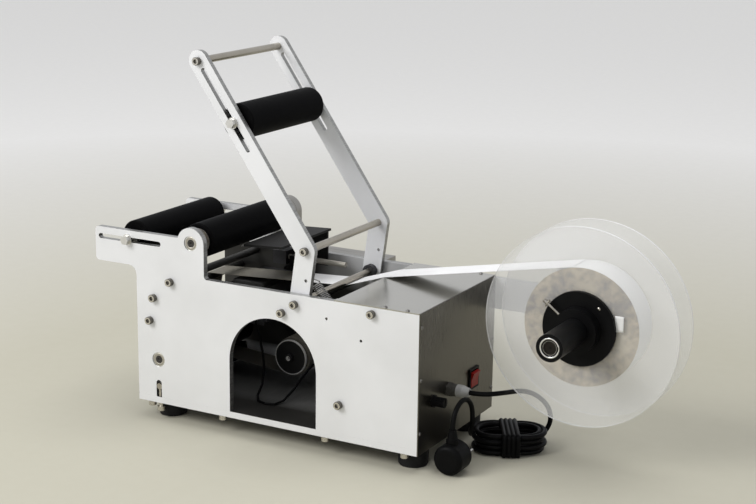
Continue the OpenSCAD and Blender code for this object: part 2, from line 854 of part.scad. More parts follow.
module arm_rods() {
  color("darkkhaki") placed() for (p = arm_rod_places)
    y_bar(p[0], p[1], arm_front_in, arm_rear_in, arm_rod_d);
}

module arm_screws() {
  color("silver") placed() for (p = arm_rod_places) {
    to_front(p[0], arm_front, p[1]) cap_screw(arm_t);
    to_back(p[0], arm_rear, p[1]) cap_screw(arm_t);
  }
}

module press_axle() {
  color("silver") placed() {
    y_bar(press_x, press_z, arm_front_in + clear, arm_rear_in - clear, axle_d);
    to_front(press_x, arm_front, press_z) hex_bolt(arm_t + clear);
    to_back(press_x, arm_rear, press_z) hex_bolt(arm_t + clear);
  }
}

module press_roller() {
  room = 4;
  color("black") placed()
    sleeve(press_x, press_z, press_roller_d, axle_d + 2 * running, arm_front_in + room, arm_rear_in - room);
}

// Peel plate: a flat blade with a bevelled tip, held by a lip on the rear side plate
module peel_plate() {
  tilt = 3;
  tip_t = 0.6;
  lip_h = 44;
  z = plate_h + peel_rise;
  color("silver") placed() {
    translate([peel_x, rear_in - peel_w, z]) rotate([0, -tilt, 0])
      translate([0, peel_w, 0]) rotate([90, 0, 0]) linear_extrude(peel_w)
        polygon([[0, 0], [0, tip_t], [4, peel_t], [peel_l, peel_t], [peel_l, 0]]);
    translate([peel_x + 8, rear_in - peel_t, z - lip_h]) cube([peel_l - 12, peel_t, lip_h + 1]);
  }
}

// Rail of the label sensor: a block on the rear side plate and a rod with a free end
rail_y = rear_in - 13;
rail_z = plate_h - 9;
rail_d = 7;
rail_x0 = 92;
rail_block = 20;
rail_l = 106;

module sensor_rail() {
  half = 9;
  color("dimgray") placed() difference() {
    translate([rail_x0, rail_y - half, rail_z - half]) cube([rail_block, rear_in - rail_y + half, 2 * half]);
    x_bar(rail_y, rail_z, rail_x0 - cut, rail_x0 + rail_block + cut, rail_d);
  }
  color("darkkhaki") placed() x_bar(rail_y, rail_z, rail_x0, rail_x0 + rail_l, rail_d);
}

sensor_x = rail_x0 + rail_block + 12;
sensor_l = 22;

module label_sensor() {
  y0 = web_y + label_w - 13;
  y1 = rail_y + 5;
  z0 = plate_h - 33;
  z1 = plate_h - 2;
  throat_z = plate_h - 28;
  throat_h = 10.5;
  throat_l = 18;
  color("black") placed() difference() {
    translate([sensor_x, y0, z0]) cube([sensor_l, y1 - y0, z1 - z0]);
    x_bar(rail_y, rail_z, sensor_x - cut, sensor_x + sensor_l + cut, rail_d + 2 * running);
    translate([sensor_x - cut, y0 - cut, throat_z]) cube([sensor_l + 2 * cut, throat_l + cut, throat_h]);
    translate([sensor_x - cut, y0 - cut, throat_z + throat_h + 4])
      cube([sensor_l + 2 * cut, throat_l - 4 + cut, z1]);
  }
}

module pinch_axle() {
  color("silver") placed() y_bar(pull_x, pinch_z, 0.5, body_w - 0.5, axle_d);
}

module pinch_roller() {
  color("dimgray") placed()
    sleeve(pull_x, pinch_z, pinch_roller_d, axle_d + 2 * running, roller_y0, roller_y1);
}

// Take-up spool: a mandrel between two flanges, carried at the back, with a screw in its free end
spool_y0 = web_y - 7;
spool_y1 = rear_in - 6;

module takeup_spool() {
  flange_d = liner_d - 4;
  color("dimgray") placed() {
    y_bar(takeup_x, takeup_z, spool_y0, spool_y1, mandrel_d);
    for (y = [spool_y0, web_y + label_w + 2]) y_bar(takeup_x, takeup_z, y, y + 3, flange_d);
    y_bar(takeup_x, takeup_z, spool_y1 - cut, takeup_belt_y + takeup_belt_b + flange_t, shaft_d);
  }
  color("silver") placed() to_front(takeup_x, spool_y0, takeup_z) cap_screw(4);
}

module wound_liner() {
  color("ivory") placed() y_ring(takeup_x, takeup_z, web_y, web_y + label_w, liner_d, mandrel_d);
}

// Label web: from the roll over the cover edge, under the pivot rod, over two guides,
// round the pull roller and onto the take-up spool.
// Each stop is [x, z, distance of the web's middle]; negative where the web passes below going left.
touch = web_t / 2 + 0.1;
pass = web_t / 2 + clear;
web_stops = [
  [reel_x, reel_z, roll_d / 2 + pass],
  [cover_x + fold_r, cover_top - fold_r, fold_r + touch],
  [pivot_x, pivot_z, -pivot_rod_d / 2 - touch],
  [guides[1][0], guides[1][1], cross_rod_d / 2 + touch],
  [guides[2][0], guides[2][1], cross_rod_d / 2 + touch],
  [pull_x, pull_z, pull_roller_d / 2 + pass],
  [takeup_x, takeup_z, liner_d / 2 + pass]
];

// Direction of the straight web between stop i and the next
function run_angle(i) =
  let (a = web_stops[i], b = web_stops[i + 1], v = [b[0] - a[0], b[1] - a[1]])
  atan2(v[1], v[0]) + asin((a[2] - b[2]) / norm(v));

// Turn between two directions, between -180 and 180
function turn_between(a, b) = (b - a) - 360 * round((b - a) / 360);

web_runs = [for (i = [0 : len(web_stops) - 2]) run_angle(i)];
web_step = 15;

// Directions that the web takes while it goes round stop i
function web_headings(i) =
  i == 0 ? [web_runs[0]] :
  i == len(web_stops) - 1 ? [web_runs[i - 1]] :
  let (t = turn_between(web_runs[i - 1], web_runs[i]), n = max(1, ceil(abs(t) / web_step)))
  [for (k = [0 : n]) web_runs[i - 1] + t * k / n];

// Points of the web, moved off its middle by e
function web_side(e) = [
  for (i = [0 : len(web_stops) - 1], a = web_headings(i))
    [web_stops[i][0] + (web_stops[i][2] + e) * sin(a), web_stops[i][1] - (web_stops[i][2] + e) * cos(a)]
];

function backwards(list) = [for (i = [len(list) - 1 : -1 : 0]) list[i]];

module label_web() {
  color("white") placed() y_plate(web_y, label_w)
    polygon(concat(web_side(web_t / 2), backwards(web_side(-web_t / 2))));
}

// Reel support bar behind the rear plate, round at the reel
reel_bolt_d = 12;

module reel_support_bar() {
  color("gainsboro") placed() difference() {
    union() {
      translate([bar_x0, rear_out, reel_z - bar_h / 2]) cube([reel_x - bar_x0, bar_t, bar_h]);
      y_bar(reel_x, reel_z, rear_out, rear_out + bar_t, bar_h);
    }
    y_bar(reel_x, reel_z, rear_out - cut, rear_out + bar_t + cut, reel_bolt_d);
    for (p = concat([for (x = bar_screws) [x, reel_z]], [upper_tie]))
      y_bar(p[0], p[1], rear_out - cut, rear_out + bar_t + cut, screw_hole_d);
  }
}

module reel_shaft() {
  nut = 18;
  color("silver") placed() {
    y_bar(reel_x, reel_z, tube_y0 + 3, rear_out, reel_shaft_d);
    y_bar(reel_x, reel_z, tube_y1 + 2, rear_out, reel_shaft_d + 10);
    y_bar(reel_x, reel_z, rear_out - cut, rear_out + bar_t + 9, reel_bolt_d);
    to_back(reel_x, rear_out + bar_t, reel_z) cylinder(h = 7, d = nut / cos(30), $fn = 6);
  }
}

reel_bearing_d = 24;
reel_bearing_b = 7;
drum_y0 = web_y + 1.5;

module reel_tube() {
  color("black") placed() difference() {
    union() {
      y_bar(reel_x, reel_z, tube_y0, tube_y1, tube_d);
      y_bar(reel_x, reel_z, drum_y0, rear_disc_y, core_d - 0.4);
    }
    y_bar(reel_x, reel_z, tube_y0 - cut, tube_y1 + cut, reel_bearing_d);
  }
}

module reel_bearings() {
  color("silver") placed() for (y = [tube_y0 + 1, tube_y1 - 1 - reel_bearing_b])
    bearing(reel_x, reel_z, y, reel_bearing_b, reel_bearing_d, reel_shaft_d + 2 * running);
}

module rear_disc() {
  color("white", 0.5) placed() y_ring(reel_x, reel_z, rear_disc_y, rear_disc_y + disc_t, disc_d, tube_d);
}

module front_disc() {
  color("white", 0.5) placed()
    y_ring(reel_x, reel_z, front_disc_y, front_disc_y + disc_t, disc_d, tube_d + 2 * running);
}

thumb_angle = 143;
thumb_d = 3;
thumb_y = front_disc_y - collar_t - boss_l / 2;

// Moves what points along Z to the thumb screw's place, r from the reel axis
module at_thumb(r) {
  translate([reel_x, thumb_y, reel_z]) rotate([0, 90 - thumb_angle, 0]) translate([0, 0, r]) children();
}

module reel_collar() {
  y0 = front_disc_y - collar_t;
  color("black") placed() difference() {
    union() {
      y_bar(reel_x, reel_z, y0, front_disc_y, collar_d);
      y_bar(reel_x, reel_z, y0 - boss_l, front_disc_y, boss_d);
    }
    y_bar(reel_x, reel_z, y0 - boss_l - cut, front_disc_y + cut, tube_d + 2 * running);
    at_thumb(0) cylinder(h = boss_d, d = thumb_d);
  }
}

module collar_thumbscrew() {
  tip = tube_d / 2 + 1;
  shank = 30;
  knob_d = 4.5;
  wing_l = 9;
  color("silver") placed() {
    at_thumb(tip) cylinder(h = shank, d = thumb_d);
    at_thumb(tip + shank - 1) cylinder(h = knob_d + 1, d = knob_d);
    at_thumb(tip + shank - 1) rotate([0, 90, 0]) cylinder(h = wing_l, d = thumb_d, center = true);
  }
}

module label_roll() {
  color("wheat") placed() y_ring(reel_x, reel_z, web_y, web_y + label_w, roll_d, core_d);
}

// Rocker switch
bezel_t = 2.2;
rocker_x = body_l + sheet_t - 1;
well_w = 19.6;
well_h = 21.6;
pin_d = 2;

module switch_bezel() {
  well_x = rocker_x - 6;
  body_d = 16;
  room_in = 0.2;
  inner_w = switch_hole_w - room_in;
  inner_h = switch_hole_h - room_in;
  x0 = body_l + sheet_t;
  color("black") placed() difference() {
    union() {
      translate([x0, switch_y - switch_w / 2, switch_z - switch_h / 2]) cube([bezel_t, switch_w, switch_h]);
      translate([x0 - body_d, switch_y - inner_w / 2, switch_z - inner_h / 2])
        cube([body_d, inner_w, inner_h]);
    }
    translate([well_x, switch_y - well_w / 2, switch_z - well_h / 2])
      cube([x0 + bezel_t, well_w, well_h]);
  }
  // Pivot pin across the well
  color("black") placed() y_bar(rocker_x, switch_z, switch_y - well_w / 2, switch_y + well_w / 2, pin_d);
}

rocker_tilt = 10;

module switch_rocker() {
  w = well_w - 2 * clear;
  half = 9.4;
  root = 4.5;
  color("red") placed() translate([rocker_x, switch_y + w / 2, switch_z]) rotate([0, rocker_tilt, 0])
    rotate([90, 0, 0]) difference() {
      linear_extrude(w)
        polygon([[-3, -root], [1, -half], [5.4, -half], [4, 0], [5.4, half], [1, half], [-3, root]]);
      translate([0, 0, -cut]) cylinder(h = w + 2 * cut, d = pin_d + 2 * running);
    }
}

// Fuse holder: thread through the panel, flange and a knurled cap with a slot
module fuse_holder() {
  x0 = body_l + sheet_t;
  thread_l = 22;
  flange_d = fuse_thread_d + 5;
  flange_l = 2.5;
  cap_d = fuse_thread_d + 2;
  cap_x = x0 + 16;
  knurl_d = 1.5;
  slot = 2;
  color("black") placed() {
    x_bar(fuse_y, fuse_z, x0 - thread_l, x0, fuse_thread_d - 2 * running);
    x_bar(fuse_y, fuse_z, x0, x0 + flange_l, flange_d);
    difference() {
      x_bar(fuse_y, fuse_z, x0 + flange_l, cap_x, cap_d);
      translate([cap_x - slot, fuse_y - slot / 2, fuse_z - cap_d]) cube([2 * slot, slot, 2 * cap_d]);
      for (a = [0 : 30 : 330]) translate([x0 + 2 * flange_l, fuse_y, fuse_z]) rotate([a, 0, 0])
        translate([0, cap_d / 2, 0]) rotate([0, 90, 0]) cylinder(h = cap_x - x0, d = knurl_d);
    }
  }
}

// Cable gland: thread with its inner nut, hexagon, body and a tapered tip
gland_l = 28;

module cable_gland() {
  x0 = body_l + sheet_t;
  thread_in = 10;
  hex_d = 18;
  hex_l = 6;
  body_d = 15;
  tip_l = 9;
  tip_d = cord_d + 4;
  nut_d = 17;
  nut_l = 7;
  color("lightgray") placed() {
    x_bar(gland_y, gland_z, x0 - thread_in, x0 + hex_l, gland_thread_d - 2 * running);
    translate([x0, gland_y, gland_z]) rotate([0, 90, 0]) cylinder(h = hex_l, d = hex_d, $fn = 6);
    x_bar(gland_y, gland_z, x0 + hex_l, x0 + gland_l - tip_l, body_d);
    translate([x0 + gland_l - tip_l, gland_y, gland_z]) rotate([0, 90, 0])
      cylinder(h = tip_l, d1 = body_d, d2 = tip_d);
    translate([body_l - nut_l, gland_y, gland_z]) rotate([0, 90, 0])
      cylinder(h = nut_l, d = nut_d, $fn = 6);
  }
}

// Control box on the base, with vents in its top
box_size = [68, 120, 66];
box_x = body_l - 26 - box_size[0];
box_y = 40;

module control_box() {
  wall = 2;
  vent = [44, 4];
  inner = [box_size[0] - 2 * wall, box_size[1] - 2 * wall, box_size[2] - wall + cut];
  color("silver") placed() translate([box_x, box_y, base_t]) difference() {
    cube(box_size);
    translate([wall, wall, -cut]) cube(inner);
    for (y = [15 : 10 : box_size[1] - 15])
      translate([(box_size[0] - vent[0]) / 2, y, box_size[2] - wall - cut])
        cube([vent[0], vent[1], wall + 2 * cut]);
  }
}

// Motor cable: from the motor down to the base, round a loop and up to the control box
cable_d = 3;
cable_route = [
  [motor_x + 12, rear_in - motor_l, motor_z - 15], [motor_x + 12, rear_in - motor_l - cable_d, motor_z - 15],
  [104, 114, 88], [112, 110, 72], [121, 104, 52], [128, 96, 34], [134, 82, 19], [140, 62, 11],
  [150, 48, 9.6], [164, 43, 9.6], [175, 47, 9.8], [180, 60, 11.5], [182, 80, 20], [184, 98, 32],
  [190, 112, 45], [205, 118, 56], [235, 112, 61], [270, 99, 60], [box_x - 12, 90, 58],
  [box_x - cable_d, 88, 58], [box_x, 88, 58]
];

module motor_cable() {
  color("black") placed() tube(cable_route, cable_d, 8, [0, 0, 1]);
}

// Mains cord, lying on the table
table = -foot_h;
gland_tip = [body_l + sheet_t + gland_l, gland_y, gland_z];

// Hank: an oval spiral in four layers, drawn in at the waist
hank_mid = [460, 130];
hank_turn = 208.5;
hank_half_run = 18;
hank_inner_r = 3 * cord_d;
hank_step = cord_d + 0.7;
hank_layers = 4;
hank_layer_turns = 1.5;
hank_waist = 3;
hank_rings = 24;
hank_floor = 1.6;
hank_start = -0.125;
hank_end = hank_layers * hank_layer_turns + 0.25;

// Distance that the spiral has gone in, rising and falling once in two layers
function hank_in(t) =
  let (s = t / hank_layer_turns, f = s - 2 * floor(s / 2))
  s < 0 ? t :
  s > hank_layers ? hank_layers * hank_layer_turns - t :
  hank_layer_turns * (f > 1 ? 2 - f : f);

// Smooth step from 0 to 1
function eased(x) = let (c = min(1, max(0, x))) c * c * (3 - 2 * c);

function hank_layer(t) =
  [for (k = [1 : hank_layers - 1]) eased((t - k * hank_layer_turns + 0.25) / 0.5)] *
  [for (k = [1 : hank_layers - 1]) 1];

// Oval of end radius r at phase f, in its own plane
function oval(f, r) =
  let (a = hank_half_run, q = 4 * f)
  q < 1 ? [-a + 2 * a * q, -r] :
  q < 2 ? [a + r * sin(180 * (q - 1)), -r * cos(180 * (q - 1))] :
  q < 3 ? [a - 2 * a * (q - 2), r] :
  [-a - r * sin(180 * (q - 3)), r * cos(180 * (q - 3))];

// The waist draws both runs towards the middle
function waisted(p) =
  abs(p[0]) >= hank_half_run ? p :
  [p[0], p[1] - sign(p[1]) * hank_waist * pow(cos(90 * p[0] / hank_half_run), 2)];

function hank_point(t) =
  let (
    f = (t + 0.125) - floor(t + 0.125),
    r = hank_inner_r + hank_step * (hank_layer_turns - hank_in(t)),
    p = waisted(oval(f, r))
  )
  [hank_mid[0] + p[0] * cos(hank_turn) - p[1] * sin(hank_turn),
   hank_mid[1] + p[0] * sin(hank_turn) + p[1] * cos(hank_turn),
   table + hank_floor + cord_d / 2 + hank_step * hank_layer(t)];

hank_count = round((hank_end - hank_start) * hank_rings);
hank_along = [cos(hank_turn), sin(hank_turn), 0];
hank_loops = [for (i = [0 : hank_count]) hank_point(hank_start + i / hank_rings)];
hank_first = hank_loops[0] - hank_along * cord_d;
hank_aside = [-sin(hank_turn), cos(hank_turn), 0];
hank_last = hank_loops[hank_count] + hank_aside * cord_d;
hank_route = concat([hank_first], hank_loops, [hank_last]);

// Least gap of the hank to itself, on points more than half a loop apart
hank_gap = min([
  for (i = [0 : len(hank_route) - 1], j = [i + 10 : 1 : len(hank_route) - 1])
    norm(hank_route[i] - hank_route[j])
]) - cord_d;
spring_gap = min([
  for (i = [0 : len(spring_route) - 1], j = [i + 5 : 1 : len(spring_route) - 1])
    norm(spring_route[i] - spring_route[j])
]) - spring_wire;
echo(hank_gap = hank_gap, spring_gap = spring_gap);

module cord_hank() {
  color("black") placed() tube(hank_route, cord_d, 6, [0, 0, 1]);
}

lead_route = [
  gland_tip, gland_tip + [cord_d, 0, 0], [444.7, 79.6, 61.2], [452.9, 84.3, 61.3], [458.9, 91.5, 61],
  [462.2, 100, 60], [465, 115, 57], [467.5, 130, 54.5], [470, 144, 51], [473.5, 157.5, 46], [479, 168, 39.5],
  [486, 176, 30], [491, 180, 20], [492.7, 180.6, 9.8], [492, 180.2, 1.1], [487.6, 177.8, -8.5],
  [480.1, 173.8, -15.1], hank_first - hank_along * cord_d, hank_first
];

module cord_lead() {
  color("black") placed() tube(lead_route, cord_d, 10, [0, 0, 1]);
}

// Tie: a flat band round the waist of the hank
tie_w = 22;
tie_t = 1.2;

module cord_tie() {
  drawn_in = hank_waist * pow(cos(45 * tie_w / hank_half_run), 2);
  half = hank_inner_r + hank_step * (hank_layer_turns + 0.2) + cord_d / 2 - drawn_in + clear + tie_t;
  h = hank_floor + cord_d + hank_step * (hank_layers - 1) + clear + tie_t;
  color("black") placed() translate([hank_mid[0], hank_mid[1], table]) rotate([0, 0, hank_turn])
    difference() {
      translate([-tie_w / 2, -half, 0]) cube([tie_w, 2 * half, h]);
      translate([-tie_w / 2 - cut, -half + tie_t, tie_t])
        cube([tie_w + 2 * cut, 2 * (half - tie_t), h - 2 * tie_t]);
    }
}

// Angled plug lying on its side: round body, pins away from the operator, cord out at the top
plug_at = [433, 26.5];
plug_d = 37;
plug_l = 30;
plug_z = table + plug_d / 2;
sleeve_l = 16;
plug_top = [plug_at[0], plug_at[1], plug_z + plug_d / 2 + sleeve_l];

module mains_plug() {
  prong_d = 4.8;
  prong_l = 19;
  prong_gap = 19;
  round_r = 6;
  neck_l = 4;
  neck_d = 15;
  y0 = plug_at[1] - plug_l / 2;
  color("black") placed() {
    translate([plug_at[0], y0, plug_z]) rotate([-90, 0, 0]) rotate_extrude() {
      square([plug_d / 2 - round_r, plug_l]);
      translate([0, round_r]) square([plug_d / 2, plug_l - round_r]);
      translate([plug_d / 2 - round_r, round_r]) circle(r = round_r);
    }
    translate([plug_at[0], plug_at[1], plug_z]) cylinder(h = plug_d / 2 + neck_l, d = neck_d);
    translate([plug_at[0], plug_at[1], plug_z + plug_d / 2 + neck_l])
      cylinder(h = sleeve_l - neck_l, d1 = neck_d - 2, d2 = cord_d + 3);
  }
  color("silver") placed() for (s = [-1, 1])
    y_bar(plug_at[0] + s * prong_gap / 2, plug_z, y0 + plug_l, y0 + plug_l + prong_l, prong_d);
}

plug_route = [
  hank_last, hank_last + hank_aside * cord_d, [429.8, 85.7, 6.1], [434.1, 77.7, 15.2], [435.7, 74.7, 27.7],
  [435.6, 74.7, 37], [435.4, 72.9, 46.2], [435, 67.6, 54], [434.6, 59.8, 59.3], [434.2, 50.6, 61.1],
  [433.8, 41.4, 59.3], [433.4, 33.6, 54], [433.1, 28.3, 46.2], plug_top + [0, 0, cord_d], plug_top
];

module plug_lead() {
  color("black") placed() tube(plug_route, cord_d, 10, [0, 0, 1]);
}

base_plate();
front_side_plate();
rear_side_plate();
top_cover();
end_panel();
belt_cover();
rubber_feet();
cap_screws();
cover_screws();
cross_rods();
pivot_rod();
pivot_collar();
return_spring();
shaft_bearings();
drive_roller_shaft();
drive_roller_sleeve();
drive_roller_pulley();
idle_axle();
idle_roller();
front_press_arm();
rear_press_arm();
arm_rods();
arm_screws();
press_axle();
press_roller();
peel_plate();
sensor_rail();
label_sensor();
pull_roller_shaft();
pull_roller_sleeve();
pull_roller_pulley();
pinch_axle();
pinch_roller();
takeup_spool();
takeup_pulley();
wound_liner();
drive_motor();
motor_pulley();
drive_belts();
reel_support_bar();
reel_shaft();
reel_tube();
reel_bearings();
rear_disc();
front_disc();
reel_collar();
collar_thumbscrew();
label_roll();
label_web();
switch_bezel();
switch_rocker();
fuse_holder();
cable_gland();
control_box();
motor_cable();
cord_lead();
cord_hank();
cord_tie();
plug_lead();
mains_plug();
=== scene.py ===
"""Looks of a desktop labeling machine for round bottles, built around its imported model, in metres."""
import json
import math
from collections import namedtuple

import bmesh
import bpy
from mathutils import Matrix, Vector


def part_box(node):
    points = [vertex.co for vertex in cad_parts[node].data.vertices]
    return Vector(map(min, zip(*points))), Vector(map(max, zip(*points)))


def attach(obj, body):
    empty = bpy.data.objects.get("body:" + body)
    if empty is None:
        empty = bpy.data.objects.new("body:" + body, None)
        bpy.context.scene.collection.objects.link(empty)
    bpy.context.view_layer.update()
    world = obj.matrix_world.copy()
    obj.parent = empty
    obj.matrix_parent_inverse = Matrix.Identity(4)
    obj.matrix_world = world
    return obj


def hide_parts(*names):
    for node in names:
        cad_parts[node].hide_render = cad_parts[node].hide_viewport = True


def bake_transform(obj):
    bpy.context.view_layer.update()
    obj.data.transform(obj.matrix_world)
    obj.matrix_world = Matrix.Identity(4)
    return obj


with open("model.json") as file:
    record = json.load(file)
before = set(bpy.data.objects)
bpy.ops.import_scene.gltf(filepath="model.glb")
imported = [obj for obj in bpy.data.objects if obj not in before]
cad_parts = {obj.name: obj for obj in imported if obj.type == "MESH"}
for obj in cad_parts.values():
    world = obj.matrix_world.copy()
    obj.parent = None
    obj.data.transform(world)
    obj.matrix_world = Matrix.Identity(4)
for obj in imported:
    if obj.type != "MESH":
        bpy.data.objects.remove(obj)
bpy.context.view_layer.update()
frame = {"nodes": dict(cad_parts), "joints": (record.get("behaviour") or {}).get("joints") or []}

MM = 0.001
LOW = 0
HIGH = 1
FULL_TURN = 360.0
nodes = frame["nodes"]
joints = {joint["name"]: joint for joint in frame["joints"]}
scene = bpy.context.scene

# The machine's layout is measured in millimetres from the front left lower corner of the base plate
layout_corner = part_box("base_plate")[LOW]


def at(x, y, z):
    """A place in the machine's layout, in millimetres, as a point of the shared frame."""
    return layout_corner + Vector((x, y, z)) * MM


def coordinate(axis, value):
    """One coordinate of the layout, in millimetres, as a coordinate of the shared frame."""
    return at(value, value, value)["XYZ".index(axis)]


def end_of(node, axis, side):
    """Lowest or highest coordinate of a node along an axis."""
    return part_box(node)[side]["XYZ".index(axis)]


def on_axis(joint, y):
    """Point on the axis of a joint that turns about Y."""
    centre = joints[joint]["pos_m"]
    return Vector((centre[0], y, centre[2]))


# Camera, fitted to the edges of the body
CAMERA_AT = at(1203.7, -1578.3, 690.8)
CAMERA_YAW = math.radians(28.547)
CAMERA_PITCH = math.radians(14.106)
CAMERA_ROLL = math.radians(0.779)
CAMERA_LENS = 76.93
SENSOR_WIDTH = 36.0
SIGHT_END = 100.0


def make_camera():
    ahead = Vector((-math.sin(CAMERA_YAW), math.cos(CAMERA_YAW), 0))
    level = Vector((math.cos(CAMERA_YAW), math.sin(CAMERA_YAW), 0))
    upright = Vector((0, 0, 1))
    forward = ahead * math.cos(CAMERA_PITCH) - upright * math.sin(CAMERA_PITCH)
    up = ahead * math.sin(CAMERA_PITCH) + upright * math.cos(CAMERA_PITCH)
    right = level * math.cos(CAMERA_ROLL) + up * math.sin(CAMERA_ROLL)
    top = up * math.cos(CAMERA_ROLL) - level * math.sin(CAMERA_ROLL)
    data = bpy.data.cameras.new("camera")
    data.lens = CAMERA_LENS
    data.sensor_width = SENSOR_WIDTH
    data.clip_end = SIGHT_END
    camera = bpy.data.objects.new("camera", data)
    axes = Matrix((right, top, -forward)).transposed()
    camera.matrix_world = Matrix.Translation(CAMERA_AT) @ axes.to_4x4()
    scene.collection.objects.link(camera)
    scene.camera = camera


# Shader helpers. Most values of a noise lie in the first range, and colours change over the second
NOISE_LOW = 0.3
NOISE_HIGH = 0.7
TONE_LOW = 0.35
TONE_HIGH = 0.65
# Sockets of a Mix node for numbers and for colours: factor, first value and second value
MIX_NUMBERS = (0, 2, 3)
MIX_COLOURS = (0, 6, 7)
MIX_COLOUR_OUT = 2
# How square a face has to be to an axis, as a part of its normal along that axis
SQUARE_FROM = 0.8
SQUARE_FULL = 0.97


def feed(tree, socket, value):
    """Links a socket to the one that feeds it, or sets its value. A colour gets its alpha here."""
    if isinstance(value, bpy.types.NodeSocket):
        tree.links.new(value, socket)
    elif socket.type == "RGBA":
        socket.default_value = (*value, 1.0)
    else:
        socket.default_value = value


def add(tree, kind, inputs=None, **settings):
    """Adds a shader node; inputs are values or the sockets that feed them."""
    node = tree.nodes.new("ShaderNode" + kind)
    for key, value in settings.items():
        setattr(node, key, value)
    for name, value in (inputs or {}).items():
        feed(tree, node.inputs[name], value)
    return node


def maths(tree, operation, a, b=0.0):
    return add(tree, "Math", {0: a, 1: b}, operation=operation).outputs[0]


def mean(tree, a, b):
    return maths(tree, "MULTIPLY", maths(tree, "ADD", a, b), 0.5)


def ramp(tree, factor, stops):
    """Colours along a factor, as (position, colour) stops."""
    node = add(tree, "ValToRGB", {"Fac": factor})
    elements = node.color_ramp.elements
    while len(elements) < len(stops):
        elements.new(1.0)
    for element, (position, colour) in zip(elements, stops):
        element.position = position
        element.color = (*colour, 1.0)
    return node.outputs["Color"]


def two_tone(tree, factor, dark, light, start=TONE_LOW, end=TONE_HIGH):
    return ramp(tree, factor, [(start, dark), (end, light)])


def spread(tree, factor, low, high, start=NOISE_LOW, end=NOISE_HIGH):
    """A factor mapped from start..end to low..high."""
    values = {"Value": factor, "From Min": start, "From Max": end, "To Min": low, "To Max": high}
    return add(tree, "MapRange", values).outputs["Result"]


def mixed(tree, factor, a, b, blend_type="MIX"):
    """Colour a where the factor is 0 and b where it is 1."""
    inputs = dict(zip(MIX_COLOURS, (factor, a, b)))
    return add(tree, "Mix", inputs, data_type="RGBA", blend_type=blend_type).outputs[MIX_COLOUR_OUT]


def blended(tree, factor, a, b):
    """Number a where the factor is 0 and b where it is 1, or the plain number where they are the same."""
    if a == b:
        return a
    return add(tree, "Mix", dict(zip(MIX_NUMBERS, (factor, a, b))), data_type="FLOAT").outputs[0]


def noise(tree, size, stretch=(1, 1, 1), detail=4.0):
    """Noise with grains of that size in metres, stretched along the piece's own axes."""
    coords = add(tree, "TexCoord").outputs["Object"]
    scaled = add(tree, "Mapping", {"Vector": coords, "Scale": [1 / s for s in stretch]})
    node = add(tree, "TexNoise", {"Vector": scaled.outputs[0], "Scale": 1 / size, "Detail": detail})
    return node.outputs["Fac"]


def own_axis(tree, output, axis):
    """One axis of the piece's own coordinates or normal."""
    split = add(tree, "SeparateXYZ", {"Vector": add(tree, "TexCoord").outputs[output]})
    return split.outputs["XYZ".index(axis)]


def fade(tree, axis, start, end, low=0.0, high=1.0):
    """A number that goes from low to high between two coordinates of the layout, in millimetres."""
    limits = coordinate(axis, start), coordinate(axis, end)
    return spread(tree, own_axis(tree, "Object", axis), low, high, *limits)


def flat_faces(tree, axis):
    """1 on faces square to an axis of the piece, 0 on the faces along it."""
    square = maths(tree, "ABSOLUTE", own_axis(tree, "Normal", axis))
    return spread(tree, square, 0.0, 1.0, SQUARE_FROM, SQUARE_FULL)


def from_axis(tree, joint):
    """Distance from a turning joint's axis along Y, in metres."""
    coords = add(tree, "TexCoord").outputs["Object"]
    moved = add(tree, "VectorMath", {0: coords, 1: joints[joint]["pos_m"]}, operation="SUBTRACT")
    split = add(tree, "SeparateXYZ", {"Vector": moved.outputs[0]})
    squares = [maths(tree, "MULTIPLY", split.outputs[axis], split.outputs[axis]) for axis in "XZ"]
    return maths(tree, "SQRT", maths(tree, "ADD", *squares))


class Finish:
    """A material whose colour, roughness and relief vary over the surface."""

    def __init__(self, name, metallic=0.0, **sockets):
        self.material = bpy.data.materials.new(name)
        self.material.use_nodes = True
        self.tree = self.material.node_tree
        self.shader = self.tree.nodes["Principled BSDF"]
        self.put("Metallic", metallic)
        for socket, value in sockets.items():
            self.put(socket.replace("_", " "), value)

    def put(self, socket, value):
        feed(self.tree, self.shader.inputs[socket], value)

    def relief(self, height, depth):
        """Bump of that depth in metres from a height between 0 and 1."""
        bump = add(self.tree, "Bump", {"Height": height, "Distance": depth, "Strength": 1.0})
        self.put("Normal", bump.outputs["Normal"])


def textured(name, metallic=0.0, grain=0.002, stretch=(1, 1, 1), cloud=0.06, depth=0.00002, **sockets):
    """A finish with a fine grain in relief and soft clouds, for its colours to follow; sizes in metres."""
    made = Finish(name, metallic, **sockets)
    made.fine = noise(made.tree, grain, stretch)
    made.soft = noise(made.tree, cloud, detail=3.0)
    made.relief(made.fine, depth)
    return made


def grained(name, dark, light, rough, **texture):
    """A textured material with two colours and a range of roughness."""
    made = textured(name, **texture)
    tree = made.tree
    both = mean(tree, made.fine, made.soft)
    made.put("Base Color", two_tone(tree, both, dark, light))
    made.put("Roughness", spread(tree, both, *rough))
    return made.material


# Plates: dark and light tones of their faces, of their milled edges and of the painted shade inside the body
PLATE_FACE = ((0.775, 0.78, 0.79), (0.835, 0.84, 0.855))
PLATE_EDGE = ((0.26, 0.26, 0.25), (0.40, 0.40, 0.39))
PLATE_INSIDE_SHADE = ((0.014, 0.0135, 0.012), (0.026, 0.025, 0.022))
FACE_METALLIC = 0.35
EDGE_METALLIC = 0.85
INSIDE_METALLIC = 0.2
FACE_ROUGH = 0.55
EDGE_ROUGH = (0.28, 0.45)
INSIDE_ROUGH = (0.40, 0.5)
MILLED_GRAIN = 0.0012
MILLED_STRETCH = (1, 30, 1)


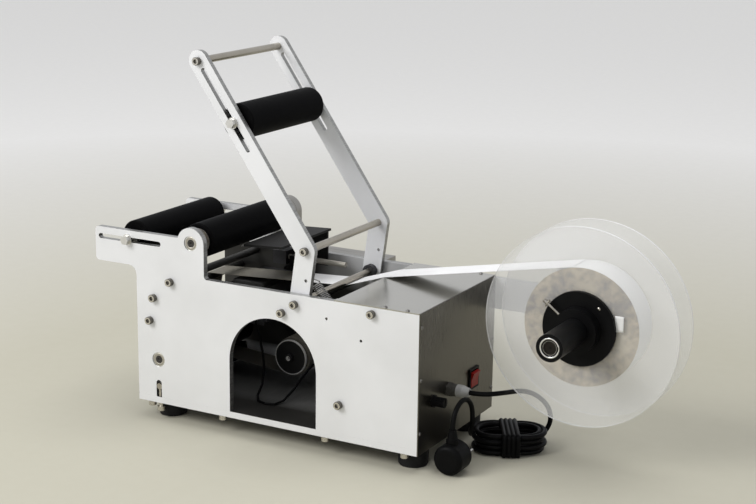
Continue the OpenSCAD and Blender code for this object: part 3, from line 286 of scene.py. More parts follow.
def plate_finish(name, inside=None):
    """Bead-blasted, clear anodised plate: pale on its faces, milled and greyer on its edges.
    inside makes the factor of the faces within the body, which get painted shade, dark and smooth."""
    made = textured(name, grain=0.0009, cloud=0.09, depth=0.00003)
    tree = made.tree
    face = flat_faces(tree, "Y")
    streaks = noise(tree, MILLED_GRAIN, MILLED_STRETCH)
    colour = mixed(tree, face, two_tone(tree, streaks, *PLATE_EDGE), two_tone(tree, made.soft, *PLATE_FACE))
    metallic = blended(tree, face, EDGE_METALLIC, FACE_METALLIC)
    rough = blended(tree, face, spread(tree, streaks, *EDGE_ROUGH), FACE_ROUGH)
    if inside:
        # Painted shade: faces within the body are darkened and made smoother
        where = inside(tree)
        colour = mixed(tree, where, colour, two_tone(tree, made.soft, *PLATE_INSIDE_SHADE))
        metallic = blended(tree, where, metallic, INSIDE_METALLIC)
        rough = blended(tree, where, rough, spread(tree, made.soft, *INSIDE_ROUGH))
    made.put("Base Color", colour)
    made.put("Metallic", metallic)
    made.put("Roughness", rough)
    return made.material


# Painted shade inside the body and the zones where painted light lifts it, in the layout, with how much
# shade each lifts or keeps
BODY_TOP = 171.5
FACING_FROM = 0.6
FACING_FULL = 0.9
ROD_ZONE_X = (140, 175)
ROD_ZONE_Z = (125, 145)
ROD_ZONE_LIT = 0.65
LOW_ZONE_Z = (26, 34)
LOW_ZONE_LIT = 0.75
BASE_ZONE_Y = (45, 70)
BASE_ZONE_SHADE_KEPT = 0.62


def within_body(tree, axis, sign):
    """1 on faces that look along an axis, below the long top edge of the side plates."""
    along = maths(tree, "MULTIPLY", own_axis(tree, "Normal", axis), float(sign))
    facing = spread(tree, along, 0.0, 1.0, FACING_FROM, FACING_FULL)
    below = maths(tree, "LESS_THAN", own_axis(tree, "Object", "Z"), coordinate("Z", BODY_TOP))
    return maths(tree, "MULTIPLY", facing, below)


def front_shade(tree):
    """Painted shade on the inside of the front plate."""
    return within_body(tree, "Y", 1)


def rear_shade(tree):
    """Painted shade on the inside of the rear plate, lifted by painted light near the pivot rod and low
    down.
    """
    # Painted light lifts the painted shade near the pivot rod and low down
    along = fade(tree, "X", *ROD_ZONE_X, high=ROD_ZONE_LIT)
    upper = maths(tree, "MULTIPLY", along, fade(tree, "Z", *ROD_ZONE_Z))
    lower = fade(tree, "Z", *LOW_ZONE_Z, low=LOW_ZONE_LIT, high=0.0)
    kept = maths(tree, "SUBTRACT", 1.0, maths(tree, "ADD", upper, lower))
    return maths(tree, "MULTIPLY", within_body(tree, "Y", -1), kept)


def base_shade(tree):
    """Painted shade on the upper face of the base plate, lifted by painted light behind its front strip."""
    kept = fade(tree, "Y", *BASE_ZONE_Y, low=1.0, high=BASE_ZONE_SHADE_KEPT)
    return maths(tree, "MULTIPLY", within_body(tree, "Z", 1), kept)


def sheet_finish(name, dark, light, rough, stretch):
    """Brushed sheet metal, with its brushing along the longest stretch."""
    return grained(name, dark, light, rough, metallic=1.0, grain=0.0011, stretch=stretch, cloud=0.12,
                   depth=0.000004)


# Label roll: tones of its paper edges, from smeared to clean, and of its outside
ROLL_TONES = [(0.45, (0.105, 0.070, 0.033)), (0.52, (0.26, 0.194, 0.100)),
              (0.58, (0.38, 0.298, 0.165)), (0.66, (0.52, 0.432, 0.258))]
ROLL_OUTSIDE = (0.86, 0.86, 0.85)
ROLL_ROUGH = (0.62, 0.85)
ROLL_RELIEF = 0.0001
RINGS_PER_METRE = 2600.0
RING_SHARE = 0.12
SMEAR_SIZE = 0.009
BLOTCH_SIZE = 0.045


def roll_finish():
    """Wound labels: beige paper edges in rings with darker smears, white round the outside."""
    made = Finish("label_roll_paper")
    tree = made.tree
    wound = {"W": from_axis(tree, "reel_spin"), "Scale": RINGS_PER_METRE, "Detail": 3.0}
    rings = add(tree, "TexNoise", wound, noise_dimensions="1D").outputs["Fac"]
    mottle = mean(tree, noise(tree, SMEAR_SIZE, detail=7.0), noise(tree, BLOTCH_SIZE, detail=2.0))
    tone = maths(tree, "ADD", mottle, maths(tree, "MULTIPLY", rings, RING_SHARE))
    side = ramp(tree, tone, ROLL_TONES)
    made.put("Base Color", mixed(tree, flat_faces(tree, "Y"), ROLL_OUTSIDE, side))
    made.put("Roughness", spread(tree, rings, *ROLL_ROUGH))
    made.relief(rings, ROLL_RELIEF)
    return made.material


# Web and wound liner: dark and light tones of bare liner and of labels, the colour of painted shade on the
# liner, and where the shade and the labels begin
LINER_TONES = ((0.20, 0.185, 0.150), (0.28, 0.262, 0.215))
LABEL_TONES = ((0.80, 0.80, 0.80), (0.86, 0.86, 0.86))
LINER_PAINTED_SHADE = (0.055, 0.050, 0.040)
LINER_SHADE_Z = (95, 125)
LABELS_FROM_X = (161, 169)
WEB_TEXTURE = {"grain": 0.0006, "stretch": (8, 1, 1), "cloud": 0.05, "depth": 0.00001}


def liner_finish(name, rough, labels=False):
    """Greyish glassine liner. With labels it gets painted shade low down, and is pale where labels still lie
    on it. Without labels, painted shade is mixed in over its fine grain.
    """
    made = textured(name, **WEB_TEXTURE)
    tree = made.tree
    made.put("Roughness", spread(tree, mean(tree, made.fine, made.soft), *rough))
    colour = two_tone(tree, made.soft, *LINER_TONES)
    if labels:
        # Painted shade on the web low down
        colour = mixed(tree, fade(tree, "Z", *LINER_SHADE_Z, low=1.0, high=0.0), colour, LINER_PAINTED_SHADE)
        pale = two_tone(tree, made.soft, *LABEL_TONES)
        colour = mixed(tree, fade(tree, "X", *LABELS_FROM_X), colour, pale)
    else:
        # Painted shade over the wound liner, mixed in by the fine grain
        colour = mixed(tree, made.fine, LINER_PAINTED_SHADE, colour)
    made.put("Base Color", colour)
    return made.material


ACRYLIC_TONES = ((0.90, 0.905, 0.91), (0.93, 0.935, 0.94))
ACRYLIC_ROUGH = (0.10, 0.16)
ACRYLIC_VEIL = (0.24, 0.27)
ACRYLIC_EDGE = 0.8
HAZE_SIZE = 0.12


def acrylic_finish():
    """Clear acrylic sheet with a faint milky veil, brighter where it was cut."""
    made = Finish("clear_acrylic", IOR=1.49)
    tree = made.tree
    haze = noise(tree, HAZE_SIZE, detail=2.0)
    veil = spread(tree, haze, *ACRYLIC_VEIL)
    made.put("Base Color", two_tone(tree, haze, *ACRYLIC_TONES, NOISE_LOW, NOISE_HIGH))
    made.put("Roughness", spread(tree, haze, *ACRYLIC_ROUGH))
    made.put("Alpha", blended(tree, flat_faces(tree, "Y"), ACRYLIC_EDGE, veil))
    return made.material


# Looks of pieces that have two, with the grain that both share
Look = namedtuple("Look", "colour metallic rough")
BLACK_PART = Look((0.0035, 0.0035, 0.0037), 0.0, 0.45)
# Cable gland: painted shade on the nut next to the panel, pale dome at its tip
GLAND_NUT_SHADE = Look((0.060, 0.057, 0.050), 0.0, 0.5)
GLAND_DOME = Look((0.44, 0.44, 0.43), 0.0, 0.45)
DARK_METAL = Look((0.07, 0.07, 0.075), 0.8, 0.4)
DARK_END = Look((0.018, 0.015, 0.012), 0.0, 0.5)
# Peel plate: painted shade makes the steel blade dark behind its bright tip
BLADE_PAINTED_SHADE = Look((0.016, 0.0155, 0.015), 0.0, 0.55)
BRIGHT_STEEL = Look((0.62, 0.61, 0.59), 1.0, 0.25)
GROUND_STEEL = Look((0.58, 0.55, 0.50), 1.0, 0.3)
# Pale rim on the black spool: a painted highlight
RIM_PAINTED_HIGHLIGHT = Look((0.80, 0.79, 0.77), 0.2, 0.35)
SATIN_STEEL = Look((0.56, 0.53, 0.46), 0.35, 0.4)
# Screw heads: painted shade on their sides, steel on their end faces
HEAD_SIDE_SHADE = Look((0.145, 0.135, 0.118), 1.0, 0.25)
HEAD_FACE = Look((0.62, 0.59, 0.53), 1.0, 0.25)
LOOK_GRAIN = 0.001
LOOK_RELIEF = 0.00002
LOOK_SHADES = ((0.8, 0.8, 0.8), (1.0, 1.0, 1.0))
LOOK_ROUGH_SWING = 0.05


def two_looks(name, mask, inner, outer, **sockets):
    """Two looks on one piece: inner where the mask's factor is 0 and outer where it is 1."""
    made = Finish(name, **sockets)
    tree = made.tree
    where = mask(tree)
    fine = noise(tree, LOOK_GRAIN)
    shade = two_tone(tree, fine, *LOOK_SHADES, NOISE_LOW, NOISE_HIGH)
    plain = mixed(tree, where, inner.colour, outer.colour)
    rough = blended(tree, where, inner.rough, outer.rough)
    swing = spread(tree, fine, -LOOK_ROUGH_SWING, LOOK_ROUGH_SWING)
    made.put("Base Color", mixed(tree, 1.0, plain, shade, blend_type="MULTIPLY"))
    made.put("Metallic", blended(tree, where, inner.metallic, outer.metallic))
    made.put("Roughness", maths(tree, "ADD", rough, swing))
    made.relief(fine, LOOK_RELIEF)
    return made.material


# Where one look ends and the other begins, in metres from an end or an axis of the piece
PIN_LENGTH = 0.019
GLAND_DOME_LENGTH = 0.016
RAIL_BLOCK = 0.020
PEEL_TIP = 0.0035
SPOOL_RIM = 0.0012
SPOOL_SCREW = 0.006
SPOOL_SCREW_R = 0.0032
SPOOL_SOCKET_R = 0.0014
END_FACE = 0.0004
LATHE_CENTRE = 0.0022
CENTRE_DOT = 0.0015


def past(axis, limit):
    """Mask that is 1 where the piece's own coordinate is past a limit."""
    return lambda tree: maths(tree, "GREATER_THAN", own_axis(tree, "Object", axis), limit)


def outside(joint, radius):
    """Mask that is 1 further than a radius from a joint's axis."""
    return lambda tree: maths(tree, "GREATER_THAN", from_axis(tree, joint), radius)


def shaft_end(node, joint):
    """Mask that is 0 on the front end of a turned shaft and in its lathe centre."""
    past_end = past("Y", end_of(node, "Y", LOW) + END_FACE)
    past_centre = outside(joint, LATHE_CENTRE)
    return lambda tree: maths(tree, "MULTIPLY", past_end(tree), past_centre(tree))


def spool_plastic(tree):
    """Mask that is 0 on the spool's screw and on the rim of its disc, which is painted pale as a highlight.
    """
    radius = from_axis(tree, "takeup_spin")
    behind = past("Y", end_of("takeup_spool", "Y", LOW) + SPOOL_SCREW)(tree)
    aside = maths(tree, "GREATER_THAN", radius, SPOOL_SCREW_R)
    socket = maths(tree, "LESS_THAN", radius, SPOOL_SOCKET_R)
    past_screw = maths(tree, "MAXIMUM", maths(tree, "MAXIMUM", behind, aside), socket)
    rim = (end_of("takeup_spool", "X", HIGH) - end_of("takeup_spool", "X", LOW)) / 2 - SPOOL_RIM
    return maths(tree, "MULTIPLY", past_screw, maths(tree, "LESS_THAN", radius, rim))


def head_face(tree):
    """Mask that is 1 on the end faces of screws along Y and on the screws under the base; the other faces
    get painted shade.
    """
    low = maths(tree, "LESS_THAN", own_axis(tree, "Object", "Z"), coordinate("Z", 0))
    return maths(tree, "MAXIMUM", flat_faces(tree, "Y"), low)


# Materials: each with its dark and light colour and its range of roughness
FINE_METAL = {"grain": 0.0006, "cloud": 0.01, "depth": 0.000006}
plate = plate_finish("blasted_plate")
front_plate = plate_finish("front_plate", front_shade)
rear_plate = plate_finish("rear_plate", rear_shade)
base_metal = plate_finish("base_metal", base_shade)
cover_sheet = sheet_finish("brushed_cover", (0.432, 0.424, 0.386), (0.482, 0.473, 0.434), (0.15, 0.22),
                           stretch=(30, 1, 1))
# End panel: brushed steel whose dark tone is painted shade and painted dark reflection
panel_shade_sheet = sheet_finish("brushed_panel_shade", (0.114, 0.107, 0.091), (0.132, 0.124, 0.107), (0.26, 0.31),
                           stretch=(1, 1, 30))
belt_sheet = sheet_finish("belt_cover_sheet", (0.29, 0.28, 0.26), (0.37, 0.36, 0.335), (0.36, 0.5),
                          stretch=(12, 1, 1))
rod = grained("ground_rod", (0.34, 0.315, 0.265), (0.43, 0.40, 0.345), (0.26, 0.36), metallic=1.0,
              grain=0.0008, stretch=(20, 1, 20), cloud=0.03, depth=0.000005)
# Cross rods painted near black: painted shade inside the body
cross_rod_shade = grained("cross_rod_shade", (0.014, 0.0135, 0.012), (0.032, 0.031, 0.028), (0.4, 0.55), metallic=0.3,
                   grain=0.0008, stretch=(20, 1, 20), cloud=0.03, depth=0.00001)
roller = grained("roller_rubber", (0.0025, 0.0025, 0.0027), (0.006, 0.006, 0.0063), (0.42, 0.58),
                 grain=0.0012, stretch=(6, 1, 6), cloud=0.05, depth=0.00004, Specular_IOR_Level=0.015)
screw = grained("screw_steel", (0.30, 0.28, 0.245), (0.50, 0.475, 0.43), (0.18, 0.32), metallic=1.0,
                **FINE_METAL)
dull_screw = grained("dull_screw", (0.16, 0.155, 0.145), (0.27, 0.26, 0.245), (0.3, 0.45), metallic=1.0,
                     **FINE_METAL)
shield = grained("bearing_shield", (0.36, 0.335, 0.285), (0.46, 0.43, 0.37), (0.3, 0.42), metallic=0.8,
                 **FINE_METAL)
bearing = grained("bearing_steel", (0.60, 0.60, 0.59), (0.78, 0.78, 0.77), (0.14, 0.26), metallic=1.0,
                  grain=0.0005, cloud=0.01, depth=0.000004)
spring_steel = grained("spring_steel", (0.50, 0.49, 0.47), (0.64, 0.63, 0.61), (0.18, 0.28), metallic=1.0,
                       grain=0.0006, cloud=0.01, depth=0.000004)
bolt = grained("bolt_steel", (0.56, 0.55, 0.52), (0.68, 0.67, 0.64), (0.26, 0.38), metallic=0.9,
               grain=0.0007, cloud=0.01, depth=0.000006)
pulley_metal = grained("turned_aluminium", (0.58, 0.58, 0.58), (0.72, 0.72, 0.72), (0.25, 0.4), metallic=1.0,
                       grain=0.0007, stretch=(12, 1, 12), cloud=0.02, depth=0.00001)
oxide = grained("black_oxide", (0.03, 0.03, 0.032), (0.08, 0.08, 0.085), (0.35, 0.5), metallic=0.8,
                grain=0.0008, cloud=0.01, depth=0.00001)
zinc = grained("zinc_sheet", (0.42, 0.43, 0.44), (0.60, 0.61, 0.62), (0.35, 0.5), metallic=0.9,
               grain=0.006, cloud=0.02, depth=0.00001)
motor_paint = grained("motor_paint", (0.016, 0.016, 0.017), (0.034, 0.034, 0.036), (0.4, 0.6),
                      grain=0.0012, cloud=0.03, depth=0.00004)
seal = grained("seal_rubber", (0.010, 0.009, 0.0075), (0.020, 0.018, 0.015), (0.45, 0.6),
               grain=0.0006, cloud=0.01, depth=0.00001, Specular_IOR_Level=0.1)
foot_rubber = grained("foot_rubber", (0.006, 0.006, 0.0065), (0.014, 0.014, 0.0145), (0.55, 0.75),
                      grain=0.0014, cloud=0.02, depth=0.00006, Specular_IOR_Level=0.2)
belt_rubber = grained("belt_rubber", (0.012, 0.012, 0.012), (0.026, 0.026, 0.027), (0.6, 0.8),
                      grain=0.0008, stretch=(1, 6, 1), cloud=0.03, depth=0.00004)
black_plastic = grained("moulded_black", (0.003, 0.003, 0.0032), (0.007, 0.007, 0.0073), (0.30, 0.42),
                        grain=0.0007, cloud=0.03, depth=0.00002, Specular_IOR_Level=0.07)
red_plastic = grained("rocker_red", (0.24, 0.008, 0.007), (0.36, 0.013, 0.010), (0.3, 0.42),
                      grain=0.002, cloud=0.008, depth=0.000006, Specular_IOR_Level=0.15)
pvc = grained("cord_pvc", (0.0024, 0.0024, 0.0025), (0.0055, 0.0055, 0.0057), (0.36, 0.5),
              grain=0.0012, cloud=0.04, depth=0.00003, Specular_IOR_Level=0.07)
paper = grained("tape_paper", (0.84, 0.84, 0.83), (0.90, 0.90, 0.89), (0.45, 0.6), **WEB_TEXTURE)
web = liner_finish("web_and_labels", (0.45, 0.6), labels=True)
liner = liner_finish("bare_liner", (0.4, 0.55))
roll_paper = roll_finish()
acrylic = acrylic_finish()
drive_shaft = two_looks("drive_shaft", shaft_end("drive_roller_shaft", "drive_spin"), DARK_END, GROUND_STEEL)
pull_shaft = two_looks("pull_shaft", shaft_end("pull_roller_shaft", "pull_spin"), DARK_END, GROUND_STEEL)
reel_shaft = two_looks("reel_shaft_dark", outside("reel_spin", CENTRE_DOT), BLACK_PART, DARK_END,
                       Specular_IOR_Level=0.1)
# The gland's nut gets painted shade
gland = two_looks("gland_nut_and_dome", past("X", end_of("cable_gland", "X", HIGH) - GLAND_DOME_LENGTH),
                  GLAND_NUT_SHADE, GLAND_DOME)
# The peel plate is darkened with painted shade, except for its steel tip
peel_blade = two_looks("peel_blade", past("X", end_of("peel_plate", "X", LOW) + PEEL_TIP),
                       BRIGHT_STEEL, BLADE_PAINTED_SHADE, Specular_IOR_Level=0.12)
plug = two_looks("plug_and_pins", past("Y", end_of("mains_plug", "Y", HIGH) - PIN_LENGTH),
                 BLACK_PART, BRIGHT_STEEL, Specular_IOR_Level=0.07)
rail = two_looks("rail_and_block", past("X", end_of("sensor_rail", "X", LOW) + RAIL_BLOCK),
                 DARK_METAL, SATIN_STEEL)
# The spool's rim is painted pale as a highlight
spool = two_looks("spool_and_screw", spool_plastic, RIM_PAINTED_HIGHLIGHT, BLACK_PART)
# Screw heads get painted shade on their sides
screw_head = two_looks("screw_head", head_face, HEAD_SIDE_SHADE, HEAD_FACE)

NODE_MATERIALS = {
    plate: ["front_press_arm", "rear_press_arm", "reel_support_bar"],
    front_plate: ["front_side_plate"],
    rear_plate: ["rear_side_plate"],
    base_metal: ["base_plate"],
    cover_sheet: ["top_cover"],
    belt_sheet: ["belt_cover"],
    peel_blade: ["peel_plate"],
    panel_shade_sheet: ["end_panel"],
    foot_rubber: ["rubber_feet"],
    screw: ["collar_thumbscrew"],
    screw_head: ["cap_screws", "arm_screws"],
    dull_screw: ["cover_screws"],
    cross_rod_shade: ["cross_rods"],
    rod: ["pivot_rod", "arm_rods", "pinch_axle"],
    bolt: ["idle_axle", "press_axle"],
    drive_shaft: ["drive_roller_shaft"],
    pull_shaft: ["pull_roller_shaft"],
    reel_shaft: ["reel_shaft"],
    oxide: ["pivot_collar"],
    bearing: ["shaft_bearings", "reel_bearings"],
    roller: ["drive_roller_sleeve", "idle_roller", "press_roller", "pull_roller_sleeve", "pinch_roller"],
    pulley_metal: ["drive_roller_pulley", "pull_roller_pulley", "takeup_pulley", "motor_pulley"],
    black_plastic: ["label_sensor", "reel_tube", "reel_collar", "switch_bezel", "fuse_holder"],
    liner: ["wound_liner"],
    web: ["label_web"],
    motor_paint: ["drive_motor"],
    belt_rubber: ["drive_belts"],
    acrylic: ["rear_disc", "front_disc"],
    roll_paper: ["label_roll"],
    red_plastic: ["switch_rocker"],
    gland: ["cable_gland"],
    zinc: ["control_box"],
    pvc: ["motor_cable"],
    plug: ["mains_plug"],
    rail: ["sensor_rail"],
    spool: ["takeup_spool"],
}


def dress_nodes():
    for material, names in NODE_MATERIALS.items():
        for name in names:
            materials = nodes[name].data.materials
            for index in range(len(materials)):
                materials[index] = material
            if not materials:
                materials.append(material)


# Small rounded edges on the cut, folded and moulded pieces, in millimetres
ROUNDED = {
    "front_side_plate": 0.5, "rear_side_plate": 0.5, "front_press_arm": 0.6, "rear_press_arm": 0.6,
    "base_plate": 0.5, "reel_support_bar": 0.6, "end_panel": 0.3, "top_cover": 0.3, "belt_cover": 0.5,
    "switch_bezel": 0.4, "switch_rocker": 0.5, "drive_motor": 0.6, "label_sensor": 0.5, "control_box": 0.4,
}
WELD_WITHIN = 0.000002
FLAT_WITHIN = math.radians(1)
ROUND_FROM = math.radians(50)


def round_edges(node, width):
    """Joins a node's faces and rounds its sharp edges by a width in millimetres, all as modifiers."""
    weld = node.modifiers.new("weld", "WELD")
    weld.merge_threshold = WELD_WITHIN
    joined = node.modifiers.new("joined_faces", "DECIMATE")
    joined.decimate_type = "DISSOLVE"
    joined.angle_limit = FLAT_WITHIN
    bevel = node.modifiers.new("bevel", "BEVEL")
    bevel.width = width * MM
    bevel.segments = 2
    bevel.limit_method = "ANGLE"
    bevel.angle_limit = ROUND_FROM
    node.modifiers.new("normals", "WEIGHTED_NORMAL")


# Pieces made here
SHARP_FROM = math.radians(35)


def place(piece, body, material):
    piece.data.materials.append(material)
    scene.collection.objects.link(piece)
    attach(piece, body)
    return piece


def wire(name, points, diameter, body, material):
    """A round wire or cord through points, as one smooth curve."""
    curve = bpy.data.curves.new(name, "CURVE")
    curve.dimensions = "3D"
    curve.bevel_depth = diameter / 2
    curve.bevel_resolution = 4
    curve.resolution_u = 4
    curve.use_fill_caps = True
    spline = curve.splines.new("NURBS")
    spline.points.add(len(points) - 1)
    for knot, point in zip(spline.points, points):
        knot.co = (*point, 1.0)
    spline.order_u = 4
    spline.use_endpoint_u = True
    return place(bpy.data.objects.new(name, curve), body, material)


def new_mesh(name, bm):
    """An object from a finished mesh, smooth except at its sharp edges."""
    mesh = bpy.data.meshes.new(name)
    bmesh.ops.recalc_face_normals(bm, faces=bm.faces)
    bm.to_mesh(mesh)
    bm.free()
    for polygon in mesh.polygons:
        polygon.use_smooth = True
    mesh.set_sharp_from_angle(angle=SHARP_FROM)
    return bpy.data.objects.new(name, mesh)


def mesh_piece(name, bm, body, material):
    return place(new_mesh(name, bm), body, material)


def thicken(piece, thickness, offset):
    """Gives a sheet a thickness in millimetres; offset -1 puts it all on the inner side, 0 half on each."""
    solid = piece.modifiers.new("thickness", "SOLIDIFY")
    solid.thickness = thickness * MM
    solid.offset = offset


def skin(bm, rings, whole=False):
    """Faces from each closed ring of points to the next, and from the last to the first if whole."""
    for here, after in zip(rings, rings[1:] + (rings[:1] if whole else [])):
        for k in range(len(here)):
            n = (k + 1) % len(here)
            bm.faces.new((here[k], here[n], after[n], after[k]))


def turned_piece(name, profile, centre, body, material, steps=48, start=0.0, sweep=FULL_TURN):
    """A closed profile of (radius, y) in millimetres, turned about the Y axis through a point."""
    bm = bmesh.new()
    whole = sweep >= FULL_TURN
    rings = []
    for step in range(steps if whole else steps + 1):
        angle = math.radians(start + sweep * step / steps)
        across = Vector((math.cos(angle), 0, math.sin(angle)))
        rings.append([bm.verts.new(centre + (across * r + Vector((0, y, 0))) * MM) for r, y in profile])
    skin(bm, rings, whole)
    if not whole:
        bm.faces.new(rings[0])
        bm.faces.new(rings[-1][::-1])
    mesh_piece(name, bm, body, material)


# Mains cord, on the same route as its solids, in the layout. A turn of the hank starts in the middle of a
# straight run, which takes a quarter of it
CORD_D = 6.0
TABLE = -layout_corner.z / MM
HANK_MID = (460, 130)
HANK_TURN = math.radians(208.5)
HANK_HALF_RUN = 18
HALF_RUN_TURN = 0.125
HANK_INNER_R = 3 * CORD_D
HANK_STEP = CORD_D + 0.7
HANK_LAYERS = 4
HANK_LAYER_TURNS = 1.5
HANK_CLIMB_TURN = 0.5
HANK_WAIST = 3
HANK_RINGS = 24
HANK_FLOOR = 1.6
HANK_START = -HALF_RUN_TURN
HANK_END = HANK_LAYERS * HANK_LAYER_TURNS + 2 * HALF_RUN_TURN
GLAND_TIP = (429.5, 78, 61)
PLUG_TOP = (433, 26.5, 31)
LEAD = [
    GLAND_TIP, (435.5, 78, 61), (444.7, 79.6, 61.2), (452.9, 84.3, 61.3), (458.9, 91.5, 61),
    (462.2, 100, 60), (465, 115, 57), (467.5, 130, 54.5), (470, 144, 51), (473.5, 157.5, 46),
    (479, 168, 39.5), (486, 176, 30), (491, 180, 20), (492.7, 180.6, 9.8), (492, 180.2, 1.1),
    (487.6, 177.8, -8.5), (480.1, 173.8, -15.1),
]
PLUG_LEAD = [
    (429.8, 85.7, 6.1), (434.1, 77.7, 15.2), (435.7, 74.7, 27.7), (435.6, 74.7, 37), (435.4, 72.9, 46.2),
    (435, 67.6, 54), (434.6, 59.8, 59.3), (434.2, 50.6, 61.1), (433.8, 41.4, 59.3), (433.4, 33.6, 54),
    (433.1, 28.3, 46.2), (433, 26.5, 37), PLUG_TOP,
]


def hank_in(t):
    """Turns that the spiral has gone in, rising and falling once in two layers."""
    layer = t / HANK_LAYER_TURNS
    if layer < 0:
        return t
    if layer > HANK_LAYERS:
        return HANK_LAYERS * HANK_LAYER_TURNS - t
    part = layer % 2
    return HANK_LAYER_TURNS * (2 - part if part > 1 else part)


def limited(x):
    return min(1.0, max(0.0, x))


def eased(x):
    """0 to 1 with a soft start and end."""
    x = limited(x)
    return x * x * (3 - 2 * x)


def hank_layer(t):
    """Layers that the cord has climbed."""
    changes = [k * HANK_LAYER_TURNS for k in range(1, HANK_LAYERS)]
    return sum(eased((t - change) / HANK_CLIMB_TURN + 0.5) for change in changes)


def oval(phase, r):
    """Point of an oval with end radius r, at a phase from 0 to 1."""
    a, quarter = HANK_HALF_RUN, 4 * phase
    if quarter < 1:
        return -a + 2 * a * quarter, -r
    if quarter < 2:
        angle = math.pi * (quarter - 1)
        return a + r * math.sin(angle), -r * math.cos(angle)
    if quarter < 3:
        return a - 2 * a * (quarter - 2), r
    angle = math.pi * (quarter - 3)
    return -a - r * math.sin(angle), r * math.cos(angle)


def hank_place(x, y, z):
    """A place in the hank's own axes, above the table, as a place in the layout."""
    return (HANK_MID[0] + x * math.cos(HANK_TURN) - y * math.sin(HANK_TURN),
            HANK_MID[1] + x * math.sin(HANK_TURN) + y * math.cos(HANK_TURN),
            TABLE + z)


def hank_point(t):
    """Point of the cord after that many turns of the hank."""
    r = HANK_INNER_R + HANK_STEP * (HANK_LAYER_TURNS - hank_in(t))
    x, y = oval((t + HALF_RUN_TURN) % 1.0, r)
    if abs(x) < HANK_HALF_RUN:
        y -= math.copysign(HANK_WAIST * math.cos(math.pi / 2 * x / HANK_HALF_RUN) ** 2, y)
    return hank_place(x, y, HANK_FLOOR + CORD_D / 2 + HANK_STEP * hank_layer(t))


def cord_route():
    """Points of the cord from the gland through the hank to the plug."""
    turns = round((HANK_END - HANK_START) * HANK_RINGS)
    loops = [Vector(hank_point(HANK_START + i / HANK_RINGS)) for i in range(turns + 1)]
    along = Vector((math.cos(HANK_TURN), math.sin(HANK_TURN), 0))
    aside = Vector((-math.sin(HANK_TURN), math.cos(HANK_TURN), 0))
    first = loops[0] - along * CORD_D
    last = loops[-1] + aside * CORD_D
    into, out = first - along * CORD_D, last + aside * CORD_D
    return [at(*point) for point in [*LEAD, into, first, *loops, last, out, *PLUG_LEAD]]


# Band round the hank, in millimetres
TIE_W = 22
TIE_T = 1.0
TIE_SKIN = 0.8
TIE_CLEAR = 0.3
TIE_SPARE_TURN = 0.2
TIE_CORNER = 5.0
TIE_WRAPS = 4
TIE_STEPS = 24
TIE_CORNER_STEPS = 6
TIE_GROOVE = 0.5
TIE_SWELL = 1.3


def tie_outline():
    """Rounded box round the waist of the hank, as the centres of its corners and directions from them."""
    drawn_in = HANK_WAIST * math.cos(math.pi / 4 * TIE_W / HANK_HALF_RUN) ** 2
    turns = HANK_LAYER_TURNS + TIE_SPARE_TURN
    half = HANK_INNER_R + HANK_STEP * turns + CORD_D / 2 - drawn_in + TIE_CLEAR + TIE_T
    height = HANK_FLOOR + CORD_D + HANK_STEP * (HANK_LAYERS - 1) + TIE_CLEAR + TIE_T
    right, upper = half - TIE_CORNER, height - TIE_CORNER
    corners = ((right, TIE_CORNER), (right, upper), (-right, upper), (-right, TIE_CORNER))
    outline = []
    for index, (y, z) in enumerate(corners):
        for k in range(TIE_CORNER_STEPS + 1):
            angle = math.radians(90 * (index - 1 + k / TIE_CORNER_STEPS))
            outline.append((y, z, math.cos(angle), math.sin(angle)))
    return outline


def make_tie():
    """Soft band round the waist of the hank, wrapped four times side by side."""
    outline = tie_outline()
    bm = bmesh.new()
    rows = []
    for i in range(TIE_STEPS + 1):
        x = TIE_W * (i / TIE_STEPS - 0.5)
        ridge = abs(math.sin(math.pi * TIE_WRAPS * i / TIE_STEPS))
        row = []
        for y, z, out_y, out_z in outline:
            swell = TIE_GROOVE + TIE_SWELL * limited(out_z + 1.0)
            reach = TIE_CORNER - TIE_GROOVE + ridge * swell
            row.append(bm.verts.new(at(*hank_place(x, y + out_y * reach, z + out_z * reach))))
        rows.append(row)
    skin(bm, rows)
    tie = mesh_piece("cord_band", bm, "frame", pvc)
    thicken(tie, TIE_T * TIE_SKIN, -1)
    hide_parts("cord_tie")
    return tie


def make_cord(tie):
    cord = wire("mains_cord", cord_route(), CORD_D * MM, "frame", pvc)
    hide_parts("cord_lead", "cord_hank", "plug_lead")


# Return spring, from the hook hole of the front arm to the post on the front plate, in the layout. The ends
# of its wire are given along, across and beside the line from the hook to the post
SPRING_WIRE = 1.2
SPRING_R = 5.9
SPRING_TURNS = 16
SPRING_STEPS = 14
SPRING_SIDES = 8
SPRING_END = 8
SPRING_HOOK = (243.05, 23, 188.37)
SPRING_POST = (277, 23, 149)
EYE_R = 2.9
EYE_ANGLES = range(90, -121, -30)
HOOK_END = [(0, 0, -13), (0, 0, -5), (0.3, 0.2, -3), (1.2, 0.8, -1.2), (2.8, 2, -0.3), (5, 4, 0)]
POST_END = [(-5, 4.6, 0.6), (-2.5, EYE_R + 0.4, 0)]


def spring_route():
    """Points of the spring's wire: straight end, coils and an eye round the post."""
    hook = Vector(SPRING_HOOK)
    run = Vector(SPRING_POST) - hook
    length = run.length
    along = run / length
    across = Vector((-along.z, 0, along.x))
    count = SPRING_TURNS * SPRING_STEPS
    local = list(HOOK_END)
    for i in range(count + 1):
        angle = 2 * math.pi * i / SPRING_STEPS
        local.append((SPRING_END + (length - 2 * SPRING_END) * i / count, SPRING_R * math.cos(angle),
                      SPRING_R * math.sin(angle)))
    local += [(length + u, v, w) for u, v, w in POST_END]
    for angle in map(math.radians, EYE_ANGLES):
        local.append((length + EYE_R * math.cos(angle), EYE_R * math.sin(angle), 0))
    return [at(*(hook + along * u + across * v + Vector((0, w, 0)))) for u, v, w in local]


